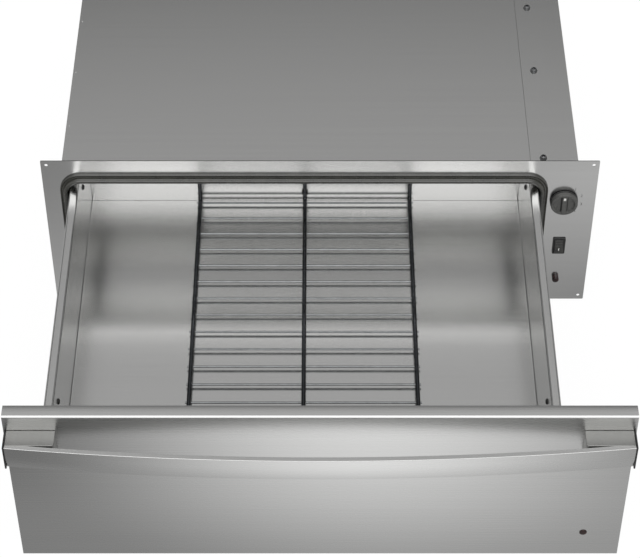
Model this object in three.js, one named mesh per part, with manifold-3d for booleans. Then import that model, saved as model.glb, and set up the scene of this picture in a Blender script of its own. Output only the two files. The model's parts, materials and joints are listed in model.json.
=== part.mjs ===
// A built in warming drawer, drawn open: a sheet metal chassis with a trim frame and controls,
// and a drawer with a bow handle that runs on three part slides.
// Millimetres. x runs across, y back into the cabinet from the trim's face, z up from the
// chassis's underside. The last group moves the origin to the middle of that underside.
import * as THREE from "three";
import { mergeVertices } from "three/addons/utils/BufferGeometryUtils.js";
import Module from "manifold-3d";

const wasm = await Module();
wasm.setup();

// ---- Driving dimensions ----

const sheet = 1.2; // gauge of the folded sheet metal
const seat = 0.3; // clearance between pieces that touch
const weld = 0.5; // how far welded or moulded forms run into each other

// Chassis
const chassisWidth = 695;
const chassisHeight = 232;
const chassisDepth = 573;
const lip = 14; // turned edges of the base and the covers
const controlRoom = 40; // cavity side of the partition to the right side plate
const partitionFlange = 29; // the partition's top flange, which carries both covers
const seamInset = 21.8; // partition to the seam between the two covers
const coverScrewInset = 4; // partition to the screws' line
const coverScrewRadius = 2;
const coverScrewHead = 4;
const coverScrewAcross = 8;
const coverScrewFlange = 5;
const coverScrewWasher = 1;
const coverScrewLength = 9;
const coverScrewFront = [24, 209, 352]; // behind the trim's face
const coverScrewRear = 29.5; // last screw to the chassis's rear
const rivetInset = 4.3;
const rivetRadius = 1.7;
const rivetHeight = 0.8;
const rivetFirst = 91;
const rivetPitch = 115;
const rivetEdge = 10; // least distance to the cover's rear edge
const ventCount = 7;
const ventWidth = 34;
const ventHeight = 3.5;
const ventPitch = 9;
const ventTopDrop = 60;

// Trim frame and gasket
const trimBeside = 26.25; // trim beyond each side of the chassis
const trimAbove = 16;
const trimBelow = 13;
const trimCornerRadius = 1.5;
const fixingHoleRadius = 2.3;
const fixingHoleInset = 7.5;
const trimMargin = 22; // trim seen above and below the gasket
const collarDepth = 8;
const gasketWidth = 11.5;
const gasketDepth = 10;
const gasketLipDepth = 3.8;
const gasketBulbWidth = 6.8;
const gasketCornerRadius = 30;
const openingInset = 1.5; // trim cut-out outside the gasket's inner edge

// Drawer
const travel = 434;
const slideRoomLeft = 18.7; // pan's wall to the left side plate
const slideRoomRight = 21.7; // pan's wall to the partition
const panBackGap = 19.7; // rim to the back panel with the drawer shut
const panDepth = 127.5; // rim to floor
const rimWidth = 12;
const hemHeight = 5;
const rimEdgeRadius = 3;
const rimSideClearance = 2.6; // rim to gasket
const rimTopClearance = 8; // rim to gasket
const frontDepth = 18.3;
const frontBesideTrim = 4.1;
const frontAboveTrim = 1.3;
const frontBelowTrim = 1.7;
const frontClosedGap = 3.6; // front's rear edge to the trim
const frontHem = 9; // turned edge round the back of the front
const frontEdgeRadius = 2.5;
const linerOverlap = 6.5; // liner outside the gasket
const linerControlGap = 2; // liner's right edge, inside the gasket's line
const linerClosedGap = 0.4; // liner to gasket with the drawer shut
const linerSheet = 1;

// Handle
const handleDrop = 24; // front's top edge to the handle
const handleHeight = 38;
const postWidth = 58.8;
const postDepth = 24;
const postHeight = 36;
const postEdge = 2;
const barThickness = 3.4;
const barBow = 17.4;
const barCrown = 1.6;
const capThickness = 2.4;
const capInset = 1; // cap to the front's end
const capStep = 2; // the cap's lower edge behind the bar
const handleScrewRadius = 2.5;
const handleScrewHeadRadius = 4.5;
const handleScrewHead = 3;
const handleScrewLength = 16;

// Slides
const slideHeight = 45.7;
const slideThickness = 12.7;
const slideLength = 500;
const slideSetback = 10; // behind the trim's face with the drawer shut
const slideDrop = 33.5; // pan rim to the slide's middle
const slideGauge = 1.2;
const ballRadius = 1.45;
const ballPlay = 0.1; // on each side of a ball
const ballCount = 4; // on each side of a cage
const cageLength = 240;
const cageGauge = 0.5;
const cageWebGap = 0.25; // on each side of a cage's web
const outerFlangeReach = 3.6; // flange tips to the pan's wall
const middleFlangeReach = 2;
const cageOuterReach = 5;
const cageInnerReach = 3.4;
const bracketFlange = 10;
const bracketMargin = 6;

// Fixing screws inside the pan
const panScrewFront = 80; // from the pan's front wall
const panScrewRear = 45; // from the slide's rear end
const panScrewHeadRadius = 3.9;
const panScrewHead = 2.2;
const panScrewRadius = 2;
const holeClearance = 0.35; // a hole's radius over its screw's

// Wire rack
const railRadius = 2.8;
const railSpacing = 148.6;
const railHeight = 8.4; // centre above the pan floor
const wireRadius = 1.6;
const wireHeight = 4.6;
const wireOverhang = 2.2;
const wirePitch = 31.75;
const runnerRadius = 1.7;
const rackEndGap = 5.5; // end uprights' centre to the pan's end walls
const rackEndWire = 4.6; // first wire inside the uprights
const rackEndFoot = 12; // how far each end's rails run in
const uprightHeight = 58;
const uprightBend = 5;
const bumperWidth = 8.5;
const bumperHeight = 7;
const bumperLift = 13;

// Controls
const controlInset = 26.2; // partition to the controls' line
const knobDrop = 71.5; // trim's top edge to the knob's axis
const knobRadius = 19;
const knobDepth = 9;
const knobFaceGap = 0.8;
const knobRim = 4.6;
const knobDish = 2.4;
const gripWidth = 6.6;
const gripProud = 0.8;
const shaftRadius = 3;
const shaftInKnob = 5;
const shaftInBody = 8;
const thermostatSize = 25;
const thermostatDepth = 26;
const rockerRise = 62; // lamp's axis to the rocker's middle
const bezelWidth = 17.5;
const bezelHeight = 29;
const bezelProud = 2;
const rockerWidth = 12.4;
const rockerHalf = 10.9;
const rockerFace = 6.2; // its ends in front of its pivot
const rockerWaist = 4.8; // its middle in front of its pivot
const rockerBack = 4;
const rockerTaper = 2.4; // each end drawn in at its back
const rockerLand = 1.5; // flat at each end
const rockerPivotY = 2;
const rockerTilt = 10; // degrees to each side
const switchDepth = 20;
const switchWall = 1.2; // beside the rocker
const switchRoom = 2.3; // above and below it
const pocketDepth = 7.2;
const lampRise = 43.5; // trim's bottom edge to the lamp's axis
const lampRadius = 4.7;
const lampProud = 7.4;
const lampBodyRadius = 4;
const lampBodyDepth = 22;
const lensRadius = 4.75;
const lensProud = 1;
const lensPipeRadius = 3.5;
const lensLampGap = 1;

// Heating and wiring
const elementRadius = 3.5;
const elementZ = 45;
const elementLeftInset = 70; // left side plate to the turns
const elementInnerInset = 120; // partition to the inner turn
const elementRows = [140, 215, 295, 370]; // behind the trim's face
const elementBend = 22;
const elementPin = 16; // into the control compartment
const supportPlaces = [-130, 110];
const supportOverhang = 14;
const reflectorZ = 14;
const reflectorMargin = 20;
const cutoutRadius = 8;
const cutoutDepth = 9;
const cutoutY = 250;
const cutoutZ = 150;
const cutoutEar = 8; // its fixing strap beyond its body, and the strap's height
const bladeLength = 8;
const bladeHeight = 6;
const bladeGauge = 0.8;
const bladeSpacing = 6;
const blockWidth = 24;
const blockLength = 46;
const blockHeight = 15;
const blockBackGap = 26;
const blockPoles = 3;
const wellRadius = 2.6;
const wellDepth = 5;
const wellInset = 5;
const glandZ = 110;
const glandRadius = 10;
const glandBore = 5;
const glandFlangeRadius = 14;
const glandFlange = 3;
const glandLength = 16;
const glandInside = 6; // inside the back panel
const glandChamfer = 2;
const harnessRadius = 3;
const harnessDrop = 41; // below the knob's axis
const harnessY = 60;
const harnessBend = 14;

// ---- Places that follow from them ----

const chassisFront = sheet + seat;
const chassisBack = chassisFront + chassisDepth;
const halfChassis = chassisWidth / 2;
const sideOuter = halfChassis - sheet - seat; // outside of the side plates
const sideInner = sideOuter - sheet;
const plateBottom = sheet + seat;
const plateTop = chassisHeight - sheet - seat;
const backOuter = chassisBack - sheet - seat;
const backInner = backOuter - sheet;
const partitionX = sideInner - controlRoom; // cavity side of the partition
const coverSeamX = partitionX - seamInset;
const coverScrewX = partitionX - coverScrewInset;
const coverScrewPlaces = [...coverScrewFront, chassisBack - coverScrewRear];
const rivetCount = 1 + Math.floor((chassisBack - rivetEdge - rivetFirst) / rivetPitch);
const controlX = partitionX + controlInset;
const halfTrim = halfChassis + trimBeside;
const trimBottom = -trimBelow;
const trimTop = chassisHeight + trimAbove;
const knobZ = trimTop - knobDrop;
const lampZ = trimBottom + lampRise;
const rockerZ = lampZ + rockerRise;
const panLeft = slideRoomLeft + sheet - sideInner; // inside of the pan's left wall
const panRight = partitionX - slideRoomRight - sheet;
const drawerCentreX = (panLeft + panRight) / 2;
const panWidth = panRight - panLeft;
const gasketTop = trimTop - trimMargin;
const gasketBottom = trimBottom + trimMargin;
const halfRim = panWidth / 2 + rimWidth;
const halfGasketIn = halfRim + rimSideClearance;
const halfGasketOut = halfGasketIn + gasketWidth;
const rimZ = gasketTop - gasketWidth - rimTopClearance;
const floorZ = rimZ - panDepth;
const frontRear = -frontClosedGap - travel;
const frontFace = frontRear - frontDepth;
const frontTop = trimTop + frontAboveTrim;
const frontBottom = trimBottom - frontBelowTrim;
const halfFront = halfTrim + frontBesideTrim;
const linerRear = -gasketDepth - linerClosedGap - travel;
const panFront = linerRear + seat + sheet; // inside of the pan's front wall
const panRear = backInner - panBackGap - rimWidth - travel;
const halfPanOut = panWidth / 2 + sheet;
const slideZ = rimZ - slideDrop;
const slideFront = slideSetback - travel; // front end of the inner members
const middleFront = slideSetback - travel / 2;
const webGap = cageGauge + 2 * cageWebGap; // between the webs of nested members
const middleWeb = slideThickness - slideGauge - webGap; // outside of the middle member's web
const middleInset = slideGauge + 2 * (ballRadius + ballPlay); // each member's edge inside the next one's
const innerInset = 2 * middleInset;
const outerRace = slideHeight / 2 - slideGauge / 2 - middleInset / 2;
const innerRace = slideHeight / 2 - (middleInset + slideGauge + innerInset) / 2;
const panScrewPlaces = [panFront + panScrewFront, slideFront + slideLength - panScrewRear];
const switchHalfWidth = rockerWidth / 2 + switchWall;
const switchHalfHeight = rockerHalf + switchRoom;
const handleTop = frontTop - handleDrop;
const handleEnd = halfFront - capInset - capThickness; // outside end of each post
const postMiddle = handleEnd - postWidth / 2;
const handleScrewZ = handleTop - postHeight / 2;
const linerLeft = drawerCentreX - halfGasketOut - linerOverlap;
const linerRight = drawerCentreX + halfGasketOut + linerControlGap;
const linerBottom = gasketBottom - linerOverlap;
const linerTop = gasketTop + linerOverlap;
const skinInside = frontFace + sheet;
const rackFront = panFront + rackEndGap;
const rackRear = panRear - rackEndGap;
const rackRails = [-railSpacing, 0, railSpacing].map((x) => drawerCentreX + x);
const rackLeft = drawerCentreX - railSpacing - railRadius - wireOverhang;
const rackRight = drawerCentreX + railSpacing + railRadius + wireOverhang;
const railZ = floorZ + railHeight;
const blockY = backInner - blockBackGap - blockLength;
const harnessZ = knobZ - harnessDrop;

// ---- Shapes ----

function solidOf(geometry) {
  const bare = geometry.clone();
  bare.deleteAttribute("normal");
  bare.deleteAttribute("uv");
  const merged = mergeVertices(bare, 1e-4);
  return new wasm.Manifold(
    new wasm.Mesh({
      numProp: 3,
      vertProperties: merged.attributes.position.array,
      triVerts: new Uint32Array(merged.index.array),
    }),
  );
}

function geometryOf(solid) {
  const mesh = solid.getMesh();
  const geometry = new THREE.BufferGeometry();
  geometry.setAttribute("position", new THREE.BufferAttribute(mesh.vertProperties, 3));
  geometry.setIndex(new THREE.BufferAttribute(mesh.triVerts, 1));
  const flat = geometry.toNonIndexed();
  flat.computeVertexNormals();
  return flat;
}

function join(...pieces) {
  return geometryOf(pieces.map(solidOf).reduce((a, b) => a.add(b)));
}

function cut(piece, ...tools) {
  return geometryOf(tools.map(solidOf).reduce((a, b) => a.subtract(b), solidOf(piece)));
}

function common(a, b) {
  return geometryOf(solidOf(a).intersect(solidOf(b)));
}

function box(x0, x1, y0, y1, z0, z1) {
  const made = new THREE.BoxGeometry(Math.abs(x1 - x0), Math.abs(y1 - y0), Math.abs(z1 - z0));
  return made.translate((x0 + x1) / 2, (y0 + y1) / 2, (z0 + z1) / 2);
}

// A round bar along x, y or z, from one place to another on that axis.
function rod(axis, radius, from, to, a, b, sides = 16) {
  const made = new THREE.CylinderGeometry(radius, radius, to - from, sides);
  const middle = (from + to) / 2;
  if (axis === "x") return made.rotateZ(-Math.PI / 2).translate(middle, a, b);
  if (axis === "z") return made.rotateX(Math.PI / 2).translate(a, b, middle);
  return made.translate(a, middle, b);
}

// An outline in x and z, thickened from y0 back to y1.
function upright(shape, y0, y1, curveSegments = 6) {
  const made = new THREE.ExtrudeGeometry(shape, { depth: y1 - y0, bevelEnabled: false, curveSegments });
  return made.rotateX(Math.PI / 2).translate(0, y1, 0);
}

// An outline in y and z, thickened from x0 to x1.
function profileAlongX(shape, x0, x1, curveSegments = 6) {
  const made = new THREE.ExtrudeGeometry(shape, { depth: x1 - x0, bevelEnabled: false, curveSegments });
  const turn = new THREE.Matrix4().makeBasis(
    new THREE.Vector3(0, 1, 0),
    new THREE.Vector3(0, 0, 1),
    new THREE.Vector3(1, 0, 0),
  );
  return made.applyMatrix4(turn).translate(x0, 0, 0);
}

function roundedRectangle(x0, x1, z0, z1, radius, outline = new THREE.Shape()) {
  outline.moveTo(x0 + radius, z0);
  outline.lineTo(x1 - radius, z0);
  outline.absarc(x1 - radius, z0 + radius, radius, -Math.PI / 2, 0);
  outline.lineTo(x1, z1 - radius);
  outline.absarc(x1 - radius, z1 - radius, radius, 0, Math.PI / 2);
  outline.lineTo(x0 + radius, z1);
  outline.absarc(x0 + radius, z1 - radius, radius, Math.PI / 2, Math.PI);
  outline.lineTo(x0, z0 + radius);
  outline.absarc(x0 + radius, z0 + radius, radius, Math.PI, 1.5 * Math.PI);
  return outline;
}

// A straight run with rounded corners. Its points are spaced by corner, not by length.
class BentRoute extends THREE.Curve {
  constructor(corners, bend, stepsPerBend = 5) {
    super();
    this.points = [corners[0]];
    for (let i = 1; i < corners.length - 1; i += 1) {
      const into = corners[i - 1].clone().sub(corners[i]).setLength(bend).add(corners[i]);
      const out = corners[i + 1].clone().sub(corners[i]).setLength(bend).add(corners[i]);
      const centre = into.clone().add(out).sub(corners[i]);
      for (let k = 0; k <= stepsPerBend; k += 1) {
        const angle = (k / stepsPerBend) * (Math.PI / 2);
        const step = centre.clone();
        step.addScaledVector(into.clone().sub(centre), Math.cos(angle));
        step.addScaledVector(out.clone().sub(centre), Math.sin(angle));
        this.points.push(step);
      }
    }
    this.points.push(corners[corners.length - 1]);
  }

  getUtoTmapping(u) {
    return u;
  }

  getPoint(t) {
    const last = this.points.length - 1;
    const at = Math.min(Math.max(t, 0), 1) * last;
    const low = Math.min(Math.floor(at), last - 1);
    return this.points[low].clone().lerp(this.points[low + 1], at - low);
  }

  getTangent(t) {
    const last = this.points.length - 1;
    const at = Math.round(t * last);
    const ahead = this.points[Math.min(at + 1, last)];
    const behind = this.points[Math.max(at - 1, 0)];
    return ahead.clone().sub(behind).normalize();
  }
}

function tube(corners, radius, bend, sides = 8, stepsPerBend = 5) {
  const route = new BentRoute(corners.map((c) => new THREE.Vector3(...c)), bend, stepsPerBend);
  const section = new THREE.Shape();
  for (let k = 0; k < sides; k += 1) {
    const angle = (2 * Math.PI * (k + 0.5)) / sides;
    const x = radius * Math.cos(angle);
    const y = radius * Math.sin(angle);
    if (k === 0) section.moveTo(x, y);
    else section.lineTo(x, y);
  }
  return new THREE.ExtrudeGeometry(section, {
    steps: route.points.length - 1,
    extrudePath: route,
    bevelEnabled: false,
  });
}

// A turned piece on an axis along y. Each profile point is [radius, y], from the back forward.
function turned(profile, x, z, segments = 24) {
  const points = profile.map(([radius, y]) => new THREE.Vector2(radius, y)).reverse();
  return new THREE.LatheGeometry(points, segments).translate(x, 0, z);
}

// ---- Finishes ----

function finish(color, roughness, metalness) {
  return new THREE.MeshStandardMaterial({ color, roughness, metalness });
}

const brushed = () => finish(0xb4b4b2, 0.34, 1);
const satin = () => finish(0xa6a6a4, 0.42, 1);
const zinc = () => finish(0x9fa3a6, 0.5, 0.9);
const wire = () => finish(0xd0d0d0, 0.15, 1);
const blackPlastic = () => finish(0x232322, 0.5, 0);
const greyRubber = () => finish(0x55554d, 0.75, 0);
const redLens = () => finish(0x5a1812, 0.2, 0);
const ceramic = () => finish(0xe4e0d6, 0.6, 0);
const incoloy = () => finish(0x4b4d48, 0.55, 0.6);
const wool = () => finish(0xc9b57e, 0.95, 0);

// ---- Chassis ----

function baseTray() {
  return join(
    box(-halfChassis, halfChassis, chassisFront, chassisBack, 0, sheet),
    box(-halfChassis, -halfChassis + sheet, chassisFront, chassisBack, 0, lip),
    box(halfChassis - sheet, halfChassis, chassisFront, chassisBack, 0, lip),
    box(-halfChassis, halfChassis, chassisBack - sheet, chassisBack, 0, lip),
  );
}

function sidePlate(side) {
  return box(
    side * sideOuter,
    side * sideInner,
    chassisFront,
    backInner - seat,
    plateBottom,
    plateTop,
  );
}

function backPanel() {
  const plate = box(-sideOuter, sideOuter, backInner, backOuter, plateBottom, plateTop);
  const gland = rod("y", glandRadius + holeClearance, backInner - 1, backOuter + 1, controlX, glandZ, 24);
  const vents = [];
  for (let i = 0; i < ventCount; i += 1) {
    const z = chassisHeight - ventTopDrop + i * ventPitch - (ventPitch * (ventCount - 1)) / 2;
    const x = drawerCentreX;
    vents.push(
      box(x - ventWidth / 2, x + ventWidth / 2, backInner - 1, backOuter + 1, z, z + ventHeight),
    );
  }
  return cut(plate, gland, ...vents);
}

function screwHoles(bottom, top) {
  return coverScrewPlaces.map((y) =>
    rod("z", coverScrewRadius + holeClearance, bottom - 1, top + 1, coverScrewX, y, 12),
  );
}

function topCover() {
  const bottom = chassisHeight - sheet;
  const x0 = -halfChassis;
  const rivets = [];
  for (let i = 0; i < rivetCount; i += 1) {
    const head = new THREE.CylinderGeometry(rivetRadius * 0.6, rivetRadius, rivetHeight + weld, 10);
    head.rotateX(Math.PI / 2);
    head.translate(
      x0 + rivetInset,
      rivetFirst + i * rivetPitch,
      chassisHeight + (rivetHeight - weld) / 2,
    );
    rivets.push(head);
  }
  return join(
    box(x0, coverSeamX, chassisFront, chassisBack, bottom, chassisHeight),
    box(x0, x0 + sheet, chassisFront, chassisBack, chassisHeight - lip, chassisHeight),
    box(x0, coverSeamX, chassisBack - sheet, chassisBack, chassisHeight - lip, chassisHeight),
    ...rivets,
  );
}

function controlCover() {
  const bottom = chassisHeight - sheet;
  const x0 = coverSeamX + seat;
  const x1 = halfChassis;
  const folded = join(
    box(x0, x1, chassisFront, chassisBack, bottom, chassisHeight),
    box(x1 - sheet, x1, chassisFront, chassisBack, chassisHeight - lip, chassisHeight),
    box(x0, x1, chassisBack - sheet, chassisBack, chassisHeight - lip, chassisHeight),
  );
  return cut(folded, ...screwHoles(bottom, chassisHeight));
}

function partition() {
  const x1 = partitionX + sheet;
  const folded = join(
    box(partitionX, x1, chassisFront, backInner - seat, plateBottom, plateTop),
    box(x1 - partitionFlange, x1, chassisFront, backInner - seat, plateTop - sheet, plateTop),
  );
  const elementHoles = [elementRows[0], elementRows[elementRows.length - 1]].map((y) =>
    rod("x", elementRadius + holeClearance, partitionX - 1, x1 + 1, y, elementZ, 12),
  );
  return cut(folded, ...screwHoles(plateTop - sheet, plateTop), ...elementHoles);
}

function coverScrew(y) {
  const top = chassisHeight + seat;
  const washerTop = top + coverScrewWasher;
  return join(
    rod("z", coverScrewFlange, top, washerTop, coverScrewX, y, 16),
    rod("z", coverScrewAcross / 2, washerTop - weld, top + coverScrewHead, coverScrewX, y, 6),
    rod("z", coverScrewRadius, top - coverScrewLength, top + weld, coverScrewX, y, 10),
  );
}

// ---- Trim frame, gasket and controls ----

function gasketRing(inset, width, y0, y1) {
  const x0 = drawerCentreX - halfGasketOut + inset;
  const x1 = drawerCentreX + halfGasketOut - inset;
  const z0 = gasketBottom + inset;
  const z1 = gasketTop - inset;
  const outline = roundedRectangle(x0, x1, z0, z1, gasketCornerRadius - inset);
  const hole = roundedRectangle(
    x0 + width,
    x1 - width,
    z0 + width,
    z1 - width,
    gasketCornerRadius - inset - width,
    new THREE.Path(),
  );
  outline.holes.push(hole);
  return upright(outline, y0, y1, 4);
}

function doorGasket() {
  return join(
    gasketRing(0, gasketWidth, -gasketLipDepth, -seat),
    gasketRing(gasketWidth - gasketBulbWidth, gasketBulbWidth, -gasketDepth, -gasketLipDepth + weld),
  );
}

function trimFrame() {
  const plate = roundedRectangle(-halfTrim, halfTrim, trimBottom, trimTop, trimCornerRadius);
  const inset = gasketWidth - openingInset;
  const collar = gasketRing(inset - sheet, sheet, sheet - weld, sheet + collarDepth);
  const fixings = [];
  for (const x of [fixingHoleInset - halfTrim, halfTrim - fixingHoleInset]) {
    for (const z of [trimBottom + fixingHoleInset, trimTop - fixingHoleInset]) {
      fixings.push(rod("y", fixingHoleRadius, -1, sheet + 1, x, z, 16));
    }
  }
  const cutOut = roundedRectangle(
    drawerCentreX - halfGasketOut + inset,
    drawerCentreX + halfGasketOut - inset,
    gasketBottom + inset,
    gasketTop - inset,
    gasketCornerRadius - inset,
  );
  const pierced = cut(
    upright(plate, 0, sheet),
    upright(cutOut, -1, sheet + 1, 4),
    ...fixings,
    rod("y", shaftRadius + 1, -1, sheet + 1, controlX, knobZ, 16),
    rod("y", lampBodyRadius + holeClearance, -1, sheet + 1, controlX, lampZ, 20),
    box(
      controlX - switchHalfWidth - seat,
      controlX + switchHalfWidth + seat,
      -1,
      sheet + 1,
      rockerZ - switchHalfHeight - seat,
      rockerZ + switchHalfHeight + seat,
    ),
  );
  return join(pierced, collar);
}

function thermostat() {
  const front = sheet + seat;
  const half = thermostatSize / 2;
  const body = box(
    controlX - half,
    controlX + half,
    front,
    front + thermostatDepth,
    knobZ - half,
    knobZ + half,
  );
  const bore = rod("y", shaftRadius + seat, front - 1, front + shaftInBody + seat, controlX, knobZ, 16);
  return cut(body, bore);
}

function thermostatShaft() {
  return rod("y", shaftRadius, -knobFaceGap - shaftInKnob, sheet + shaftInBody, controlX, knobZ, 16);
}

function controlKnob() {
  const back = -knobFaceGap;
  const face = back - knobDepth;
  const dish = knobRadius - knobRim;
  const bore = shaftRadius + seat;
  const body = turned(
    [
      [0, back - shaftInKnob - seat],
      [bore, back - shaftInKnob - seat],
      [bore, back],
      [knobRadius, back],
      [knobRadius, back - 2],
      [knobRadius - 0.7, face + 1],
      [knobRadius - 1.5, face],
      [dish + 0.6, face],
      [dish, face + knobDish],
      [0, face + knobDish],
    ],
    controlX,
    knobZ,
    40,
  );
  const grip = roundedRectangle(
    controlX - gripWidth / 2,
    controlX + gripWidth / 2,
    knobZ - dish - 1,
    knobZ + dish + 1,
    1.5,
  );
  return join(body, upright(grip, face - gripProud, face + knobDish + weld, 3));
}

function rockerBezel() {
  const frame = roundedRectangle(
    controlX - bezelWidth / 2,
    controlX + bezelWidth / 2,
    rockerZ - bezelHeight / 2,
    rockerZ + bezelHeight / 2,
    2,
  );
  const shell = join(
    upright(frame, -bezelProud, -seat, 3),
    box(
      controlX - switchHalfWidth,
      controlX + switchHalfWidth,
      -seat - weld,
      switchDepth,
      rockerZ - switchHalfHeight,
      rockerZ + switchHalfHeight,
    ),
  );
  const pocket = box(
    controlX - rockerWidth / 2 - seat,
    controlX + rockerWidth / 2 + seat,
    -bezelProud - 1,
    pocketDepth,
    rockerZ - switchHalfHeight + 1,
    rockerZ + switchHalfHeight - 1,
  );
  return cut(shell, pocket);
}

// Drawn about its pivot, then tilted so that its upper half is pressed in.
function powerRocker() {
  const tip = rockerHalf - rockerTaper;
  const outline = new THREE.Shape();
  outline.moveTo(-rockerFace, rockerHalf);
  outline.lineTo(-rockerFace, rockerHalf - rockerLand);
  outline.lineTo(-rockerWaist, 0);
  outline.lineTo(-rockerFace, rockerLand - rockerHalf);
  outline.lineTo(-rockerFace, -rockerHalf);
  outline.lineTo(rockerBack - 1, -tip);
  outline.lineTo(rockerBack, 0);
  outline.lineTo(rockerBack - 1, tip);
  const made = profileAlongX(outline, -rockerWidth / 2, rockerWidth / 2);
  made.rotateX(THREE.MathUtils.degToRad(-rockerTilt));
  return made.translate(controlX, rockerPivotY, rockerZ);
}

function panelLamp() {
  const tip = -lampProud;
  return turned(
    [
      [0, lampBodyDepth],
      [lampBodyRadius, lampBodyDepth],
      [lampBodyRadius, -seat],
      [lampRadius, -seat],
      [lampRadius, tip + 3.4],
      [lampRadius * 0.9, tip + 1.9],
      [lampRadius * 0.6, tip + 0.6],
      [lampRadius * 0.25, tip],
      [0, tip],
    ],
    controlX,
    lampZ,
    20,
  );
}

// ---- Slides ----

// A box beside the pan: u runs out from the pan's wall towards the chassis's.
function beside(side, u0, u1, y0, y1, z0, z1) {
  const from = halfPanOut + seat;
  const a = drawerCentreX + side * (from + u0);
  const b = drawerCentreX + side * (from + u1);
  return box(Math.min(a, b), Math.max(a, b), y0, y1, z0, z1);
}

// A slide member or cage: a web and two flanges, in a C that opens towards the pan or away.
function channel(side, webFrom, webTo, flangeFrom, flangeTo, half, gauge, y0, y1) {
  return join(
    beside(side, webFrom, webTo, y0, y1, slideZ - half, slideZ + half),
    beside(side, flangeFrom, flangeTo, y0, y1, slideZ + half - gauge, slideZ + half),
    beside(side, flangeFrom, flangeTo, y0, y1, slideZ - half, slideZ - half + gauge),
  );
}

function slideOuter(side) {
  const u = slideThickness;
  const half = slideHeight / 2;
  return channel(
    side,
    u - slideGauge,
    u,
    outerFlangeReach,
    u - slideGauge + weld,
    half,
    slideGauge,
    slideSetback,
    slideSetback + slideLength,
  );
}

function slideMiddle(side) {
  return channel(
    side,
    middleWeb - slideGauge,
    middleWeb,
    middleFlangeReach,
    middleWeb - slideGauge + weld,
    slideHeight / 2 - middleInset,
    slideGauge,
    middleFront,
    middleFront + slideLength,
  );
}

function slideInner(side) {
  const member = channel(
    side,
    0,
    slideGauge,
    slideGauge - weld,
    middleWeb - slideGauge - webGap,
    slideHeight / 2 - innerInset,
    slideGauge,
    slideFront,
    slideFront + slideLength,
  );
  const x = drawerCentreX + side * (halfPanOut + seat + slideGauge / 2);
  const holes = panScrewPlaces.map((y) =>
    rod("x", panScrewRadius + holeClearance, x - 2, x + 2, y, slideZ, 12),
  );
  return cut(member, ...holes);
}

// The cages carry their balls half way between the members' travels.
function ballCage(side, webTo, flangeFrom, half, middleY) {
  const y0 = middleY - cageLength / 2;
  const y1 = middleY + cageLength / 2;
  const frame = channel(
    side,
    webTo - cageGauge,
    webTo,
    flangeFrom,
    webTo - cageGauge / 2,
    half + cageGauge / 2,
    cageGauge,
    y0,
    y1,
  );
  const u = (flangeFrom + webTo) / 2;
  const x = drawerCentreX + side * (halfPanOut + seat + u);
  const balls = [];
  for (let i = 0; i < ballCount; i += 1) {
    const y = y0 + (cageLength * (i + 0.5)) / ballCount;
    for (const z of [slideZ - half, slideZ + half]) {
      balls.push(new THREE.SphereGeometry(ballRadius, 6, 4).translate(x, y, z));
    }
  }
  return join(frame, ...balls);
}

function ballCageOuter(side) {
  const y = slideSetback + slideLength / 2 - travel / 4;
  return ballCage(side, slideThickness - slideGauge - cageWebGap, cageOuterReach, outerRace, y);
}

function ballCageInner(side) {
  const y = slideSetback + slideLength / 2 - (travel * 3) / 4;
  return ballCage(side, middleWeb - slideGauge - cageWebGap, cageInnerReach, innerRace, y);
}

function slideBracket(side) {
  const room = side < 0 ? slideRoomLeft : slideRoomRight;
  const reach = room - 2 * seat;
  const from = slideThickness + seat;
  const half = slideHeight / 2 - 2;
  const y0 = slideSetback + bracketMargin;
  const y1 = slideSetback + slideLength - bracketMargin;
  return join(
    beside(side, from, from + sheet, y0, y1, slideZ - half, slideZ + half),
    beside(side, from, reach, y0, y1, slideZ + half - sheet, slideZ + half),
    beside(side, from, reach, y0, y1, slideZ - half, slideZ - half + sheet),
    beside(side, reach - sheet, reach, y0, y1, slideZ + half - sheet, slideZ + half + bracketFlange),
    beside(side, reach - sheet, reach, y0, y1, slideZ - half - bracketFlange, slideZ - half + sheet),
  );
}

// ---- Heating and wiring ----

function heatingElement() {
  const [front, second, third, rear] = elementRows;
  const pinEnd = partitionX + elementPin;
  const elementLeft = elementLeftInset - sideInner;
  const elementInner = partitionX - elementInnerInset;
  return tube(
    [
      [pinEnd, front, elementZ],
      [elementLeft, front, elementZ],
      [elementLeft, second, elementZ],
      [elementInner, second, elementZ],
      [elementInner, third, elementZ],
      [elementLeft, third, elementZ],
      [elementLeft, rear, elementZ],
      [pinEnd, rear, elementZ],
    ],
    elementRadius,
    elementBend,
    8,
    5,
  );
}

function elementSupport(x) {
  const y0 = elementRows[0] - supportOverhang;
  const y1 = elementRows[elementRows.length - 1] + supportOverhang;
  const bottom = reflectorZ + sheet + seat;
  const foot = box(x, x + lip, y0, y1, bottom, bottom + sheet);
  const blade = box(x, x + sheet, y0, y1, bottom, elementZ + elementRadius);
  const slots = elementRows.flatMap((y) => {
    const radius = elementRadius + seat;
    return [
      rod("x", radius, x - 1, x + sheet + 1, y, elementZ, 12),
      box(x - 1, x + sheet + 1, y - radius, y + radius, elementZ, elementZ + 2 * elementRadius),
    ];
  });
  return cut(join(foot, blade), ...slots);
}

function heatReflector() {
  const x0 = -sideInner + reflectorMargin;
  const x1 = partitionX - reflectorMargin;
  const y0 = chassisFront + reflectorMargin;
  const y1 = backInner - reflectorMargin;
  return join(
    box(x0, x1, y0, y1, reflectorZ, reflectorZ + sheet),
    box(x0, x0 + sheet, y0, y1, sheet + seat, reflectorZ + sheet),
    box(x1 - sheet, x1, y0, y1, sheet + seat, reflectorZ + sheet),
  );
}

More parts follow.
